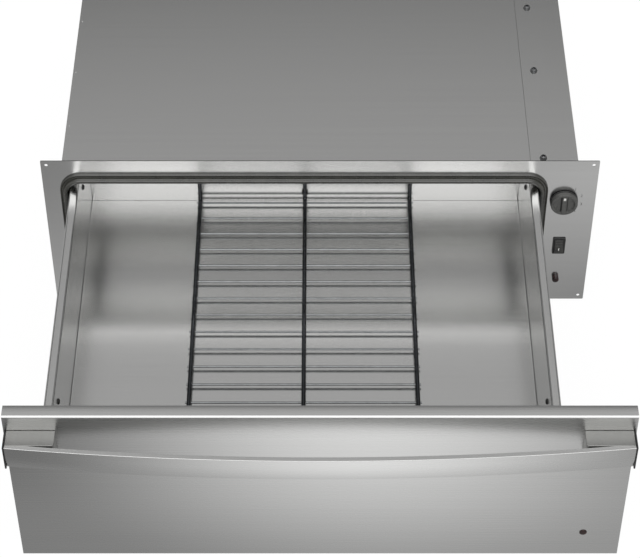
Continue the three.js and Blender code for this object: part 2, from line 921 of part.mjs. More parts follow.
function thermalCutout() {
  const x0 = partitionX + sheet + seat;
  const top = x0 + cutoutDepth;
  const ear = cutoutRadius + cutoutEar;
  const blades = [-bladeSpacing / 2, bladeSpacing / 2].map((offset) => {
    const y = cutoutY + offset;
    return box(
      top - weld,
      top + bladeLength,
      y - bladeGauge / 2,
      y + bladeGauge / 2,
      cutoutZ - bladeHeight / 2,
      cutoutZ + bladeHeight / 2,
    );
  });
  return join(
    rod("x", cutoutRadius, x0, top, cutoutY, cutoutZ, 20),
    box(
      x0,
      x0 + sheet,
      cutoutY - ear,
      cutoutY + ear,
      cutoutZ - cutoutEar / 2,
      cutoutZ + cutoutEar / 2,
    ),
    ...blades,
  );
}

function terminalBlock() {
  const bottom = sheet + seat;
  const top = bottom + blockHeight;
  const x0 = controlX - blockWidth / 2;
  const x1 = x0 + blockWidth;
  const wells = [];
  for (let i = 0; i < blockPoles; i += 1) {
    const y = blockY + (blockLength * (i + 0.5)) / blockPoles;
    for (const x of [x0 + wellInset, x1 - wellInset]) {
      wells.push(rod("z", wellRadius, top - wellDepth, top + 1, x, y, 10));
    }
  }
  return cut(box(x0, x1, blockY, blockY + blockLength, bottom, top), ...wells);
}

function cableGland() {
  const outside = backOuter + seat;
  const end = outside + glandLength;
  const inside = backInner - glandInside;
  return turned(
    [
      [glandBore, end],
      [glandRadius - glandChamfer, end],
      [glandRadius, end - glandChamfer],
      [glandRadius, outside + glandFlange],
      [glandFlangeRadius, outside + glandFlange],
      [glandFlangeRadius, outside],
      [glandRadius, outside],
      [glandRadius, inside],
      [glandBore, inside],
      [glandBore, end],
    ],
    controlX,
    glandZ,
    24,
  );
}

function wiringHarness() {
  const blockTop = sheet + seat + blockHeight + seat;
  const bodyBack = sheet + seat + thermostatDepth + seat;
  const y = blockY + blockLength / 2;
  return tube(
    [
      [controlX, y, blockTop],
      [controlX, y, harnessZ],
      [controlX, harnessY, harnessZ],
      [controlX, harnessY, knobZ],
      [controlX, bodyBack, knobZ],
    ],
    harnessRadius,
    harnessBend,
    8,
    4,
  );
}

// ---- Drawer ----

// A block whose top edges are rounded at both ends and at the back, as the pan's rim is.
function crownedBlock(x0, x1, y0, y1, z0, z1, radius) {
  const across = new THREE.Shape();
  across.moveTo(x0, z0);
  across.lineTo(x1, z0);
  across.absarc(x1 - radius, z1 - radius, radius, 0, Math.PI / 2);
  across.absarc(x0 + radius, z1 - radius, radius, Math.PI / 2, Math.PI);
  const along = new THREE.Shape();
  along.moveTo(y0, z0);
  along.lineTo(y1, z0);
  along.absarc(y1 - radius, z1 - radius, radius, 0, Math.PI / 2);
  along.lineTo(y0, z1);
  return common(upright(across, y0, y1, 2), profileAlongX(along, x0, x1, 2));
}

function foldedPan() {
  const left = drawerCentreX - halfRim;
  const right = drawerCentreX + halfRim;
  const front = panFront - sheet;
  const rear = panRear + rimWidth;
  const rim = cut(
    crownedBlock(left, right, front, rear, rimZ - hemHeight, rimZ, rimEdgeRadius),
    crownedBlock(
      left + sheet,
      right - sheet,
      front - 1,
      rear - sheet,
      rimZ - hemHeight - 1,
      rimZ - sheet,
      rimEdgeRadius - sheet,
    ),
  );
  const shell = box(
    panLeft - sheet,
    panRight + sheet,
    front,
    panRear + sheet,
    floorZ - sheet,
    rimZ - sheet / 2,
  );
  const inside = box(panLeft, panRight, front - 1, panRear, floorZ, rimZ + 1);
  const holes = panScrewPlaces.map((y) =>
    rod("x", panScrewRadius + holeClearance, left, right, y, slideZ, 12),
  );
  return cut(join(shell, rim), inside, ...holes);
}

// The pan's floor and sides are one folded sheet, which the front's liner closes.
function drawerPan() {
  return cut(foldedPan(), panSlab(panRear - seat, panRear + 2 * rimWidth));
}

// The rear wall is a sheet of its own, welded in along three edges.
function panRearWall() {
  return cut(foldedPan(), panSlab(panFront - 2 * rimWidth, panRear));
}

// All that the pan holds from one y to another.
function panSlab(y0, y1) {
  const reach = halfRim + rimWidth;
  return box(drawerCentreX - reach, drawerCentreX + reach, y0, y1, floorZ - rimWidth, rimZ + rimWidth);
}

function panScrew(side, y) {
  const wall = side < 0 ? panLeft : panRight;
  const head = [wall - side * (seat + panScrewHead), wall - side * seat].sort((a, b) => a - b);
  const shank = [wall - side * (seat + weld), wall + side * (sheet + seat + slideGauge)];
  shank.sort((a, b) => a - b);
  return join(
    rod("x", panScrewHeadRadius, head[0], head[1], y, slideZ, 16),
    rod("x", panScrewRadius, shank[0], shank[1], y, slideZ, 10),
  );
}

// The front's skin: one sheet folded back all round, with an inward hem on its rear edge.
function frontSkin() {
  const face = new THREE.Shape();
  const r = frontEdgeRadius;
  face.moveTo(frontRear, frontBottom);
  face.lineTo(frontRear, frontTop);
  face.lineTo(frontFace + r, frontTop);
  face.absarc(frontFace + r, frontTop - r, r, Math.PI / 2, Math.PI);
  face.lineTo(frontFace, frontBottom + r);
  face.absarc(frontFace + r, frontBottom + r, r, Math.PI, 1.5 * Math.PI);
  const outside = profileAlongX(face, -halfFront, halfFront, 4);
  const hollow = box(
    sheet - halfFront,
    halfFront - sheet,
    frontFace + sheet,
    frontRear - sheet,
    frontBottom + sheet,
    frontTop - sheet,
  );
  const mouth = box(
    frontHem - halfFront,
    halfFront - frontHem,
    frontRear - 2 * sheet,
    frontRear + 1,
    frontBottom + frontHem,
    frontTop - frontHem,
  );
  const screwHolesInSkin = [-1, 1].map((side) =>
    rod(
      "y",
      handleScrewRadius + holeClearance,
      frontFace - 1,
      frontFace + sheet + 1,
      side * postMiddle,
      handleScrewZ,
      16,
    ),
  );
  const lensHole = rod(
    "y",
    lensPipeRadius + holeClearance,
    frontFace - 1,
    frontFace + sheet + 1,
    controlX,
    lampZ,
    20,
  );
  return cut(outside, hollow, mouth, lensHole, ...screwHolesInSkin);
}

// The liner: a shallow pan, open forwards, that the gasket and the drawer's pan seat on.
function frontLiner() {
  const front = skinInside + seat;
  return cut(
    box(linerLeft, linerRight, front, linerRear, linerBottom, linerTop),
    box(
      linerLeft + linerSheet,
      linerRight - linerSheet,
      front - 1,
      linerRear - linerSheet,
      linerBottom + linerSheet,
      linerTop - linerSheet,
    ),
    ...[-1, 1].map((side) =>
      rod("y", handleScrewHeadRadius + 3, front - 1, linerRear + 1, side * postMiddle, handleScrewZ, 16),
    ),
  );
}

function frontInsulation() {
  const inset = linerSheet + seat;
  const slab = box(
    linerLeft + inset,
    linerRight - inset,
    skinInside + seat,
    linerRear - inset,
    linerBottom + inset,
    linerTop - inset,
  );
  const reliefs = [-1, 1].map((side) =>
    rod(
      "y",
      handleScrewHeadRadius + 4,
      skinInside - 1,
      linerRear + 1,
      side * postMiddle,
      handleScrewZ,
      16,
    ),
  );
  return cut(slab, ...reliefs);
}

// The bar is bowed, furthest out in its middle. Its section has a crowned face and a plain back.
function handleBar() {
  const endY = frontFace - 2 * seat - postDepth - barThickness; // the face at its ends
  const radius = (handleEnd * handleEnd + barBow * barBow) / (2 * barBow);
  const centreY = endY - barBow + radius;
  const span = Math.asin(handleEnd / radius);
  const section = [];
  for (let k = 0; k <= 4; k += 1) {
    const down = k / 4;
    section.push([down * handleHeight, barCrown * (2 * down - 1) ** 2]);
  }
  section.push([handleHeight, barThickness], [0, barThickness]);
  const stations = 28;
  const positions = [];
  for (let i = 0; i <= stations; i += 1) {
    const angle = span * ((2 * i) / stations - 1);
    for (const [down, inset] of section) {
      const r = radius - inset;
      positions.push(r * Math.sin(angle), centreY - r * Math.cos(angle), handleTop - down);
    }
  }
  const count = section.length;
  const last = stations * count;
  const index = [];
  for (let i = 0; i < last; i += count) {
    for (let k = 0; k < count; k += 1) {
      const a = i + k;
      const b = i + ((k + 1) % count);
      index.push(a, b, b + count, a, b + count, a + count);
    }
  }
  for (let k = 1; k < count - 1; k += 1) {
    index.push(0, k + 1, k);
    index.push(last, last + k, last + k + 1);
  }
  const bar = new THREE.BufferGeometry();
  bar.setAttribute("position", new THREE.Float32BufferAttribute(positions, 3));
  bar.setIndex(index);
  return bar;
}

function handlePost(side) {
  const outer = side * handleEnd;
  const inner = side * (handleEnd - postWidth);
  const back = frontFace - seat;
  const front = back - postDepth;
  const outline = new THREE.Shape();
  outline.moveTo(outer, back);
  outline.lineTo(outer, front);
  outline.lineTo(inner + side * postEdge, front);
  outline.lineTo(inner, front + postEdge);
  outline.lineTo(inner, back);
  const block = new THREE.ExtrudeGeometry(outline, { depth: postHeight, bevelEnabled: false });
  block.translate(0, 0, handleTop - postHeight);
  const bore = rod(
    "y",
    handleScrewRadius + holeClearance,
    back - handleScrewLength,
    back + 1,
    side * postMiddle,
    handleScrewZ,
    16,
  );
  return cut(block, bore);
}

function handleCap(side) {
  const x0 = handleEnd + seat;
  const x1 = x0 + capThickness - seat;
  const back = frontFace - seat;
  const front = back - postDepth - seat - barThickness;
  const barBack = front + barThickness + capStep;
  const outline = new THREE.Shape();
  const bottom = handleTop - handleHeight;
  outline.moveTo(back, handleTop);
  outline.lineTo(front, handleTop);
  outline.lineTo(front, bottom);
  outline.lineTo(barBack, bottom);
  outline.lineTo(back, handleTop - postHeight);
  return side > 0 ? profileAlongX(outline, x0, x1) : profileAlongX(outline, -x1, -x0);
}

function handleScrew(side) {
  const x = side * postMiddle;
  const inside = skinInside + seat;
  return join(
    rod("y", handleScrewHeadRadius, inside, inside + handleScrewHead, x, handleScrewZ, 16),
    rod("y", handleScrewRadius, frontFace - seat - handleScrewLength + 1, inside + weld, x, handleScrewZ, 12),
  );
}

function indicatorLens() {
  const pipeEnd = -lampProud - lensLampGap - travel;
  const face = frontFace - seat - lensProud;
  return turned(
    [
      [0, pipeEnd],
      [lensPipeRadius, pipeEnd],
      [lensPipeRadius, frontFace - seat],
      [lensRadius, frontFace - seat],
      [lensRadius, face + 0.5],
      [lensRadius - 0.6, face],
      [0, face],
    ],
    controlX,
    lampZ,
    24,
  );
}

function rackBumper() {
  const z = floorZ + bumperLift;
  const rackSide = rackRear + railRadius + seat;
  return box(
    drawerCentreX - bumperWidth / 2,
    drawerCentreX + bumperWidth / 2,
    rackSide,
    panRear - seat,
    z,
    z + bumperHeight,
  );
}

function crossWire(y, z) {
  return rod("x", wireRadius, rackLeft, rackRight, y, z, 8);
}

// One end of the rack: its rails turned up at a right angle, with a wire at the foot and the top.
function rackEnd(y, inward) {
  const top = railZ + uprightHeight;
  const rails = rackRails.map((x) =>
    tube(
      [
        [x, y + inward * rackEndFoot, railZ],
        [x, y, railZ],
        [x, y, top],
      ],
      railRadius,
      uprightBend,
      8,
      4,
    ),
  );
  const foot = crossWire(y + inward * rackEndWire, floorZ + wireHeight);
  return join(...rails, foot, crossWire(y, top - railRadius));
}

// The rack's flat middle: rails over cross wires, on a runner under each outer rail.
function wireRack() {
  const front = rackFront + rackEndFoot + seat;
  const rear = rackRear - rackEndFoot - seat;
  const rails = rackRails.map((x) => rod("y", railRadius, front, rear, x, railZ, 8));
  const runnerZ = floorZ + seat + runnerRadius;
  const runners = [rackRails[0], rackRails[2]].map((x) =>
    rod("y", runnerRadius, front, rear, x, runnerZ, 6),
  );
  const wires = [];
  for (let y = rackRear - rackEndWire - wirePitch; y > front + wireRadius; y -= wirePitch) {
    wires.push(crossWire(y, floorZ + wireHeight));
  }
  return join(...rails, ...runners, ...wires);
}

// ---- Assembly ----

const chassis = new THREE.Group();
const drawer = new THREE.Group();

function add(group, name, geometry, material) {
  const mesh = new THREE.Mesh(geometry, material);
  mesh.name = name;
  group.add(mesh);
}

const sides = [
  ["left", -1],
  ["right", 1],
];

add(chassis, "base_tray", baseTray(), satin());
add(chassis, "back_panel", backPanel(), satin());
add(chassis, "top_cover", topCover(), satin());
add(chassis, "control_cover", controlCover(), satin());
add(chassis, "partition", partition(), satin());
add(chassis, "trim_frame", trimFrame(), brushed());
add(chassis, "door_gasket", doorGasket(), greyRubber());
add(chassis, "thermostat", thermostat(), blackPlastic());
add(chassis, "thermostat_shaft", thermostatShaft(), zinc());
add(chassis, "control_knob", controlKnob(), blackPlastic());
add(chassis, "rocker_bezel", rockerBezel(), blackPlastic());
add(chassis, "power_rocker", powerRocker(), blackPlastic());
add(chassis, "panel_lamp", panelLamp(), redLens());
add(chassis, "heating_element", heatingElement(), incoloy());
add(chassis, "heat_reflector", heatReflector(), zinc());
add(chassis, "thermal_cutout", thermalCutout(), ceramic());
add(chassis, "terminal_block", terminalBlock(), ceramic());
add(chassis, "cable_gland", cableGland(), blackPlastic());
add(chassis, "wiring_harness", wiringHarness(), blackPlastic());
supportPlaces.forEach((x, i) => {
  add(chassis, `element_support_${i + 1}`, elementSupport(x), zinc());
});
coverScrewPlaces.forEach((y, i) => {
  add(chassis, `cover_screw_${i + 1}`, coverScrew(y), zinc());
});

for (const [word, side] of sides) {
  add(chassis, `${word}_side`, sidePlate(side), satin());
  add(chassis, `slide_bracket_${word}`, slideBracket(side), zinc());
  add(chassis, `slide_outer_${word}`, slideOuter(side), zinc());
  add(chassis, `slide_middle_${word}`, slideMiddle(side), zinc());
  add(chassis, `ball_cage_outer_${word}`, ballCageOuter(side), zinc());
  add(chassis, `ball_cage_inner_${word}`, ballCageInner(side), zinc());
  add(drawer, `slide_inner_${word}`, slideInner(side), zinc());
  add(drawer, `handle_post_${word}`, handlePost(side), brushed());
  add(drawer, `handle_cap_${word}`, handleCap(side), blackPlastic());
  add(drawer, `handle_screw_${word}`, handleScrew(side), zinc());
  panScrewPlaces.forEach((y, i) => {
    const end = i === 0 ? "front" : "rear";
    add(drawer, `pan_screw_${word}_${end}`, panScrew(side, y), blackPlastic());
  });
}

add(drawer, "drawer_pan", drawerPan(), satin());
add(drawer, "pan_rear_wall", panRearWall(), satin());
add(drawer, "front_skin", frontSkin(), brushed());
add(drawer, "front_liner", frontLiner(), satin());
add(drawer, "front_insulation", frontInsulation(), wool());
add(drawer, "handle_bar", handleBar(), brushed());
add(drawer, "indicator_lens", indicatorLens(), redLens());
add(drawer, "rack_bumper", rackBumper(), blackPlastic());
add(drawer, "wire_rack", wireRack(), wire());
add(drawer, "rack_end_front", rackEnd(rackFront, 1), wire());
add(drawer, "rack_end_rear", rackEnd(rackRear, -1), wire());

const warmingDrawer = new THREE.Group();
warmingDrawer.add(chassis, drawer);
warmingDrawer.position.y = -(chassisFront + chassisBack) / 2;

export default warmingDrawer;
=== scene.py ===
"""A built in warming drawer, drawn open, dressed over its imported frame.

Every piece is in metres in the frame's own axes: x across, y back into the cabinet, z up.
Sizes are written in millimetres and turned to metres by MM.
"""

import json
import math

import bmesh
import bpy
from mathutils import Matrix, Vector

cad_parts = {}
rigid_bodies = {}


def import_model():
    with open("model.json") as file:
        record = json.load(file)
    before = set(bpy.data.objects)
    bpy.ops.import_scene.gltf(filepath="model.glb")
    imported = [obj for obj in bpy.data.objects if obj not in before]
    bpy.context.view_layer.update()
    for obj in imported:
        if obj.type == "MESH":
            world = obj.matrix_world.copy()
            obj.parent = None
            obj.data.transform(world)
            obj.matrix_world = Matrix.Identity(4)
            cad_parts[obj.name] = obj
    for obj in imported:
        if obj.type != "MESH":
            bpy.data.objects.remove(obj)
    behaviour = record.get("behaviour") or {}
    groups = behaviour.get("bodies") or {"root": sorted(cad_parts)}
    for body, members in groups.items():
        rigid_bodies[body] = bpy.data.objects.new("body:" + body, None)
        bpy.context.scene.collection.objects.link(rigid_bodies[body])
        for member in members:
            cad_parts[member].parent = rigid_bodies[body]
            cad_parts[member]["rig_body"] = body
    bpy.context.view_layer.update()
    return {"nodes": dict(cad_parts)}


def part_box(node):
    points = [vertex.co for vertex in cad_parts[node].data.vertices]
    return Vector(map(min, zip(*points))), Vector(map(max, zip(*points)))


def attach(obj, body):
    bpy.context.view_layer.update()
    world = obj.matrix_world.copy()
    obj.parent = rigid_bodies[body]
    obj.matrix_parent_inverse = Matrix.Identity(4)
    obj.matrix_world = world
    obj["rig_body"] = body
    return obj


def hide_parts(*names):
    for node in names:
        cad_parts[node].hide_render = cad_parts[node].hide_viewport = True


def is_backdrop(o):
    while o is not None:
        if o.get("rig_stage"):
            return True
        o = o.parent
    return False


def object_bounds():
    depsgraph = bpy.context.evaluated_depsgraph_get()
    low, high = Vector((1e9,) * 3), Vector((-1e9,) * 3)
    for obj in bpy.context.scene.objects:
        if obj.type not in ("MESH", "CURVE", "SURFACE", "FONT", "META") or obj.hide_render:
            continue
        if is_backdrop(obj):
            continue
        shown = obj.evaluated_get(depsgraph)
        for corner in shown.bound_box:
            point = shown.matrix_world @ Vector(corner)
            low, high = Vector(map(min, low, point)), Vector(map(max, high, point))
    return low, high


MM = 0.001
SHUT = -288.0  # the frame's y, in mm, of the trim frame's front face

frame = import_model()
nodes = frame["nodes"]


# ---- Node helpers ----


def linear(code):
    """An sRGB hex colour as the linear values that Blender's colour sockets take."""
    channels = [int(code[i : i + 2], 16) / 255 for i in (1, 3, 5)]
    curve = [c / 12.92 if c <= 0.04045 else ((c + 0.055) / 1.055) ** 2.4 for c in channels]
    return (*curve, 1.0)


def put(tree, kind, sockets=None, **settings):
    """Adds a node with its settings. Each socket, by name or number, takes a value or a link."""
    made = tree.nodes.new(kind)
    for name, value in settings.items():
        setattr(made, name, value)
    for name, value in (sockets or {}).items():
        if isinstance(value, bpy.types.Node):
            value = value.outputs[0]
        if isinstance(value, bpy.types.NodeSocket):
            tree.links.new(value, made.inputs[name])
        else:
            made.inputs[name].default_value = value
    return made


def new_material(name):
    """An empty node material and its output node."""
    made = bpy.data.materials.new(name)
    made.use_nodes = True
    made.node_tree.nodes.clear()
    return made, made.node_tree, made.node_tree.nodes.new("ShaderNodeOutputMaterial")


def ramp(tree, factor, stops, interpolation="LINEAR"):
    """A colour ramp. Each stop is a place and a grey level or a colour."""
    made = put(tree, "ShaderNodeValToRGB", {0: factor})
    made.color_ramp.interpolation = interpolation
    while len(made.color_ramp.elements) < len(stops):
        made.color_ramp.elements.new(0.5)
    for element, (place, level) in zip(made.color_ramp.elements, stops):
        element.position = place
        element.color = level if isinstance(level, tuple) else (level, level, level, 1.0)
    return made.outputs[0]


# ---- Materials ----

BAND_LENGTH = 1200  # mm, of the soft bands that rolling leaves under the grain
BAND_WIDTH = 7


def grained_steel(name, along, colour, roughness, spread, grain, streak, depth, reach=420):
    """Rolled or brushed steel whose grain runs along one axis, its lines so many mm long."""
    made, tree, out = new_material(name)
    place = put(tree, "ShaderNodeTexCoord").outputs["Object"]
    scale = [1 / reach if axis == along else 1 / grain for axis in "xyz"]
    lines = put(tree, "ShaderNodeMapping", {"Vector": place, "Scale": [s / MM for s in scale]})
    fine = put(tree, "ShaderNodeTexNoise", {"Vector": lines, "Scale": 1.0, "Detail": 3.0})
    soft_scale = [1 / BAND_LENGTH if axis == along else 1 / BAND_WIDTH for axis in "xyz"]
    bands = put(tree, "ShaderNodeMapping", {"Vector": place, "Scale": [s / MM for s in soft_scale]})
    soft = put(tree, "ShaderNodeTexNoise", {"Vector": bands, "Scale": 1.0, "Detail": 2.0})
    mixed = put(tree, "ShaderNodeMath", {0: fine.outputs[0], 1: soft.outputs[0]}, operation="ADD")
    half = put(tree, "ShaderNodeMath", {0: mixed, 1: 0.5}, operation="MULTIPLY")
    base = linear(colour)
    dark = tuple(c * (1 - streak) for c in base[:3]) + (1.0,)
    light = tuple(min(1.0, c * (1 + streak)) for c in base[:3]) + (1.0,)
    tint = ramp(tree, half.outputs[0], [(0.3, dark), (0.7, light)])
    rough = put(
        tree,
        "ShaderNodeMapRange",
        {0: fine.outputs[0], 1: 0.3, 2: 0.7, 3: roughness - spread, 4: roughness + spread},
    )
    bump = put(tree, "ShaderNodeBump", {"Strength": 0.3, "Distance": depth * MM, "Height": fine})
    shader = put(
        tree,
        "ShaderNodeBsdfPrincipled",
        {"Base Color": tint, "Metallic": 1.0, "Roughness": rough, "Normal": bump},
    )
    tree.links.new(shader.outputs[0], out.inputs[0])
    return made


def pattern(tree, kind, size, socket=0, **sockets):
    """A texture on Object coordinates whose features are so many mm apart, along each axis or all."""
    place = put(tree, "ShaderNodeTexCoord").outputs["Object"]
    sizes = size if isinstance(size, tuple) else (size, size, size)
    laid = put(tree, "ShaderNodeMapping", {"Vector": place, "Scale": [1 / (s * MM) for s in sizes]})
    texture = put(tree, kind, {"Vector": laid, "Scale": 1.0, **sockets})
    return texture.outputs[socket]


def spread_over(tree, factor, low, high, start=0.3, end=0.7):
    """A pattern's level drawn over a range of values."""
    return put(tree, "ShaderNodeMapRange", {0: factor, 1: start, 2: end, 3: low, 4: high})


def coated(name, dark, light, patches, grit, rough, metallic=0.0, relief=0.02, strength=0.3, **sockets):
    """A finish with soft patches between two colours, and a fine grit that roughens and dents it."""
    made, tree, out = new_material(name)
    cloud = pattern(tree, "ShaderNodeTexNoise", patches, Detail=3.0)
    tint = ramp(tree, cloud, [(0.35, linear(dark)), (0.65, linear(light))])
    grains = pattern(tree, "ShaderNodeTexNoise", grit, Detail=2.0)
    worn = spread_over(tree, grains, rough[0], rough[1])
    bump = put(tree, "ShaderNodeBump", {"Strength": strength, "Distance": relief * MM, "Height": grains})
    values = {"Base Color": tint, "Metallic": metallic, "Roughness": worn, "Normal": bump, **sockets}
    shader = put(tree, "ShaderNodeBsdfPrincipled", values)
    tree.links.new(shader.outputs[0], out.inputs[0])
    return made


# Brushed 304 stainless: abraded along its length, so it draws reflections out across the grain.
panel_steel = grained_steel("brushed_stainless_steel", "x", "#cbcbca", 0.28, 0.02, 0.8, 0.02, 0.003)
# The trim is the same sheet, brushed with a finer belt, so that it mirrors more.
trim_steel = grained_steel("fine_brushed_trim", "x", "#d8d8d7", 0.19, 0.02, 0.8, 0.02, 0.003)
# Painted shade for the trim's top edge: a dark grey in place of its steel, which draws the dark line along
# that edge.
trim_edge_painted_shade = coated("sheared_steel_edge", "#3a3a39", "#484847", 1.5, 0.4, (0.45, 0.6), 0.7)
# The handle's posts are cast and bead blasted, so they are duller and darker than the bar.
post_steel = grained_steel("blasted_stainless_posts", "y", "#9a9a98", 0.4, 0.04, 0.9, 0.04, 0.01, 3)
# Cold rolled stainless as it comes from the mill: a soft, cloudy mirror with faint roll lines.
casing_steel = grained_steel("satin_stainless_sheet", "x", "#c9c9c8", 0.21, 0.02, 1.2, 0.02, 0.005)
side_steel = grained_steel("satin_stainless_sides", "y", "#c9c9c8", 0.22, 0.02, 1.2, 0.02, 0.005)
# Bright zinc plate over rolled steel: bluish, with pale patches where the plate is thicker.
zinc_steel = coated("bright_zinc_plate", "#9aa1a8", "#b9bfc4", 14.0, 0.9, (0.26, 0.38), 1.0)
# Phosphated and oiled steel: a mid grey with a greasy shine.
screw_steel = coated("phosphated_steel", "#6a6b6c", "#828384", 3.0, 0.5, (0.3, 0.42), 1.0)
# The rack is drawn dark and not as bright plate: painted reflection, a dark colour that stands in for the
# dark surroundings it mirrors.
# The thick rails are a dark near mirror, the thin wires a satin grey darkened to dim their highlights.
rails_painted_dark = coated("black_nickel_rails", "#424446", "#4b4d50", 9.0, 0.8, (0.08, 0.14), 1.0, 0.006, 0.2)
wires_painted_dim = coated("satin_nickel_wires", "#8a8c8d", "#949697", 9.0, 0.8, (0.2, 0.28), 1.0, 0.006, 0.2)
# Moulded nylon, spark eroded in the tool: a grey black with a fine even grit.
black_plastic = coated("moulded_black_nylon", "#222222", "#2b2b2a", 6.0, 0.35, (0.4, 0.52), relief=0.03)
# The knob's glass filled nylon is paler and shows its filler.
knob_plastic = coated("glass_filled_nylon", "#4b4b49", "#595957", 3.0, 0.45, (0.38, 0.5), relief=0.04)
# The rocker's nylon lies between the two.
switch_plastic = coated("moulded_grey_nylon", "#333332", "#3e3e3c", 5.0, 0.4, (0.36, 0.46), relief=0.03)
# Extruded silicone rubber: a warm grey with a waxy sheen.
gasket_rubber = coated(
    "grey_silicone_rubber", "#2e2e2a", "#393934", 22.0, 0.8, (0.18, 0.26), **{"Specular IOR Level": 1.0}
)
# Tinted polycarbonate, polished in the mould: almost black until it is lit from inside.
red_lens = coated("red_polycarbonate", "#160403", "#260705", 2.0, 0.7, (0.06, 0.1), relief=0.004)
# Steatite, pressed and fired: an off white in soft patches.
ceramic = coated("steatite_ceramic", "#d9d3c5", "#ece7dc", 2.5, 0.5, (0.35, 0.5), relief=0.03)
# A nickel alloy sheath after its first firing: green grey oxide in patches.
heater_sheath = coated("oxidised_alloy_sheath", "#3a3b37", "#5c5b50", 11.0, 0.7, (0.4, 0.6), 0.6)
# A mineral wool batt: straw and brown patches, with a coarse grit in place of its fibres.
mineral_wool = coated(
    "mineral_wool", "#a58f58", "#d0bd86", 5.0, 0.9, (0.9, 1.0), relief=0.8, strength=0.9
)
# Braided polyester sleeve: a soft black, with a grit in place of its weave.
harness_sleeve = coated(
    "braided_sleeve", "#141414", "#303030", 1.1, 0.9, (0.55, 0.75), relief=0.3, strength=0.8
)
# Grey ink from a rubber pad, for the dial's numbers.
grey_print = coated("grey_pad_print", "#565656", "#626262", 1.2, 0.4, (0.45, 0.55), relief=0.01)
# White ink from the same kind of pad, for the knob's pointer and the rocker's mark.
white_print = coated("white_pad_print", "#dcdcd8", "#eeeeea", 1.2, 0.4, (0.45, 0.55), relief=0.01)


# ---- Mesh helpers ----


def keep(name, mesh, body, slot, *replaced):
    """Makes a finished mesh a piece of the part."""
    made = bpy.data.objects.new(name, mesh)
    bpy.context.scene.collection.objects.link(made)
    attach(made, body)
    if replaced:
        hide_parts(*replaced)


def settled(name, carrier):
    """The plain mesh that an object's modifiers make of it. The object and its tree go."""
    bpy.context.view_layer.update()
    seen = carrier.evaluated_get(bpy.context.evaluated_depsgraph_get())
    mesh = bpy.data.meshes.new_from_object(seen)
    mesh.name = name
    carrier.modifiers.clear()
    bpy.data.objects.remove(carrier)
    return mesh


def smooth(mesh, angle=40.0):
    """Shades the mesh smooth, but for edges sharper than the angle."""
    mesh.polygons.foreach_set("use_smooth", [True] * len(mesh.polygons))
    mesh.set_sharp_from_angle(angle=math.radians(angle))
    return mesh


def outward(mesh):
    """Turns a closed mesh's faces outwards if they all point inwards."""
    shell = bmesh.new()
    shell.from_mesh(mesh)
    if shell.calc_volume(signed=True) < 0:
        bmesh.ops.reverse_faces(shell, faces=shell.faces)
        shell.to_mesh(mesh)
    shell.free()
    return mesh


def poly_curve(name, routes, cyclic=False):
    """A curve object of straight-sided splines. Each route is a list of points in mm."""
    curve = bpy.data.curves.new(name, "CURVE")
    curve.dimensions = "3D"
    for route in routes:
        spline = curve.splines.new("POLY")
        spline.points.add(len(route) - 1)
        for point, place in zip(spline.points, route):
            point.co = (*[c * MM for c in place[:3]], 1.0)
            point.radius = place[3] if len(place) > 3 else 1.0
        spline.use_cyclic_u = cyclic
    made = bpy.data.objects.new(name, curve)
    bpy.context.scene.collection.objects.link(made)
    return made


def new_tree(name, inputs):
    """A Geometry Nodes tree with named inputs, and its two end nodes."""
    tree = bpy.data.node_groups.new(name, "GeometryNodeTree")
    tree.interface.new_socket("Geometry", in_out="INPUT", socket_type="NodeSocketGeometry")
    for label, kind in inputs:
        tree.interface.new_socket(label, in_out="INPUT", socket_type="NodeSocket" + kind)
    tree.interface.new_socket("Geometry", in_out="OUTPUT", socket_type="NodeSocketGeometry")
    return tree, put(tree, "NodeGroupInput").outputs


def grow(carrier, tree, values):
    """Runs a Geometry Nodes tree on an object, with each named input set by its identifier."""
    modifier = carrier.modifiers.new(tree.name, "NODES")
    modifier.node_group = tree
    for item in tree.interface.items_tree:
        if item.in_out == "INPUT" and item.name in values:
            modifier[item.identifier] = values[item.name]
    return settled(carrier.name, carrier)


# Sweeps a section along the carrier's curves, with their corners rounded.
swept, given = new_tree(
    "swept_section",
    [("Section", "Object"), ("Bend radius", "Float"), ("Bend steps", "Int"), ("Finish", "Material")],
)
section = put(swept, "GeometryNodeObjectInfo", {"Object": given["Section"]})
bent = put(
    swept,
    "GeometryNodeFilletCurve",
    {"Curve": given["Geometry"], "Radius": given["Bend radius"], "Count": given["Bend steps"]},
    mode="POLY",
)
skin = put(
    swept,
    "GeometryNodeCurveToMesh",
    {"Curve": bent, "Profile Curve": section.outputs["Geometry"], "Fill Caps": True},
)
real = put(swept, "GeometryNodeRealizeInstances", {0: skin})
painted = put(swept, "GeometryNodeSetMaterial", {"Geometry": real, "Material": given["Finish"]})
put(swept, "NodeGroupOutput", {0: painted})


# Puts a copy of one shape at each of the carrier's points, turned by the point's own angles.
repeated, given = new_tree("repeated_shape", [("Copy", "Object"), ("Finish", "Material")])
shape = put(repeated, "GeometryNodeObjectInfo", {"Object": given["Copy"]})
turn = put(repeated, "GeometryNodeInputNamedAttribute", {"Name": "turn"}, data_type="FLOAT_VECTOR")
copies = put(
    repeated,
    "GeometryNodeInstanceOnPoints",
    {"Points": given["Geometry"], "Instance": shape.outputs["Geometry"], "Rotation": turn},
)
real = put(repeated, "GeometryNodeRealizeInstances", {0: copies})
painted = put(repeated, "GeometryNodeSetMaterial", {"Geometry": real, "Material": given["Finish"]})
put(repeated, "NodeGroupOutput", {0: painted})


def sweep(name, routes, outline, finish, bend=0.0, steps=6, cyclic=False, closed=True):
    """A mesh with one outline drawn along each route. Both are in mm."""
    form = poly_curve(name + "_section", [[(u, v, 0) for u, v in outline]], closed)
    values = {"Section": form, "Bend radius": bend * MM, "Bend steps": steps, "Finish": finish}
    mesh = grow(poly_curve(name, routes, cyclic), swept, values)
    bpy.data.objects.remove(form)
    return outward(mesh)


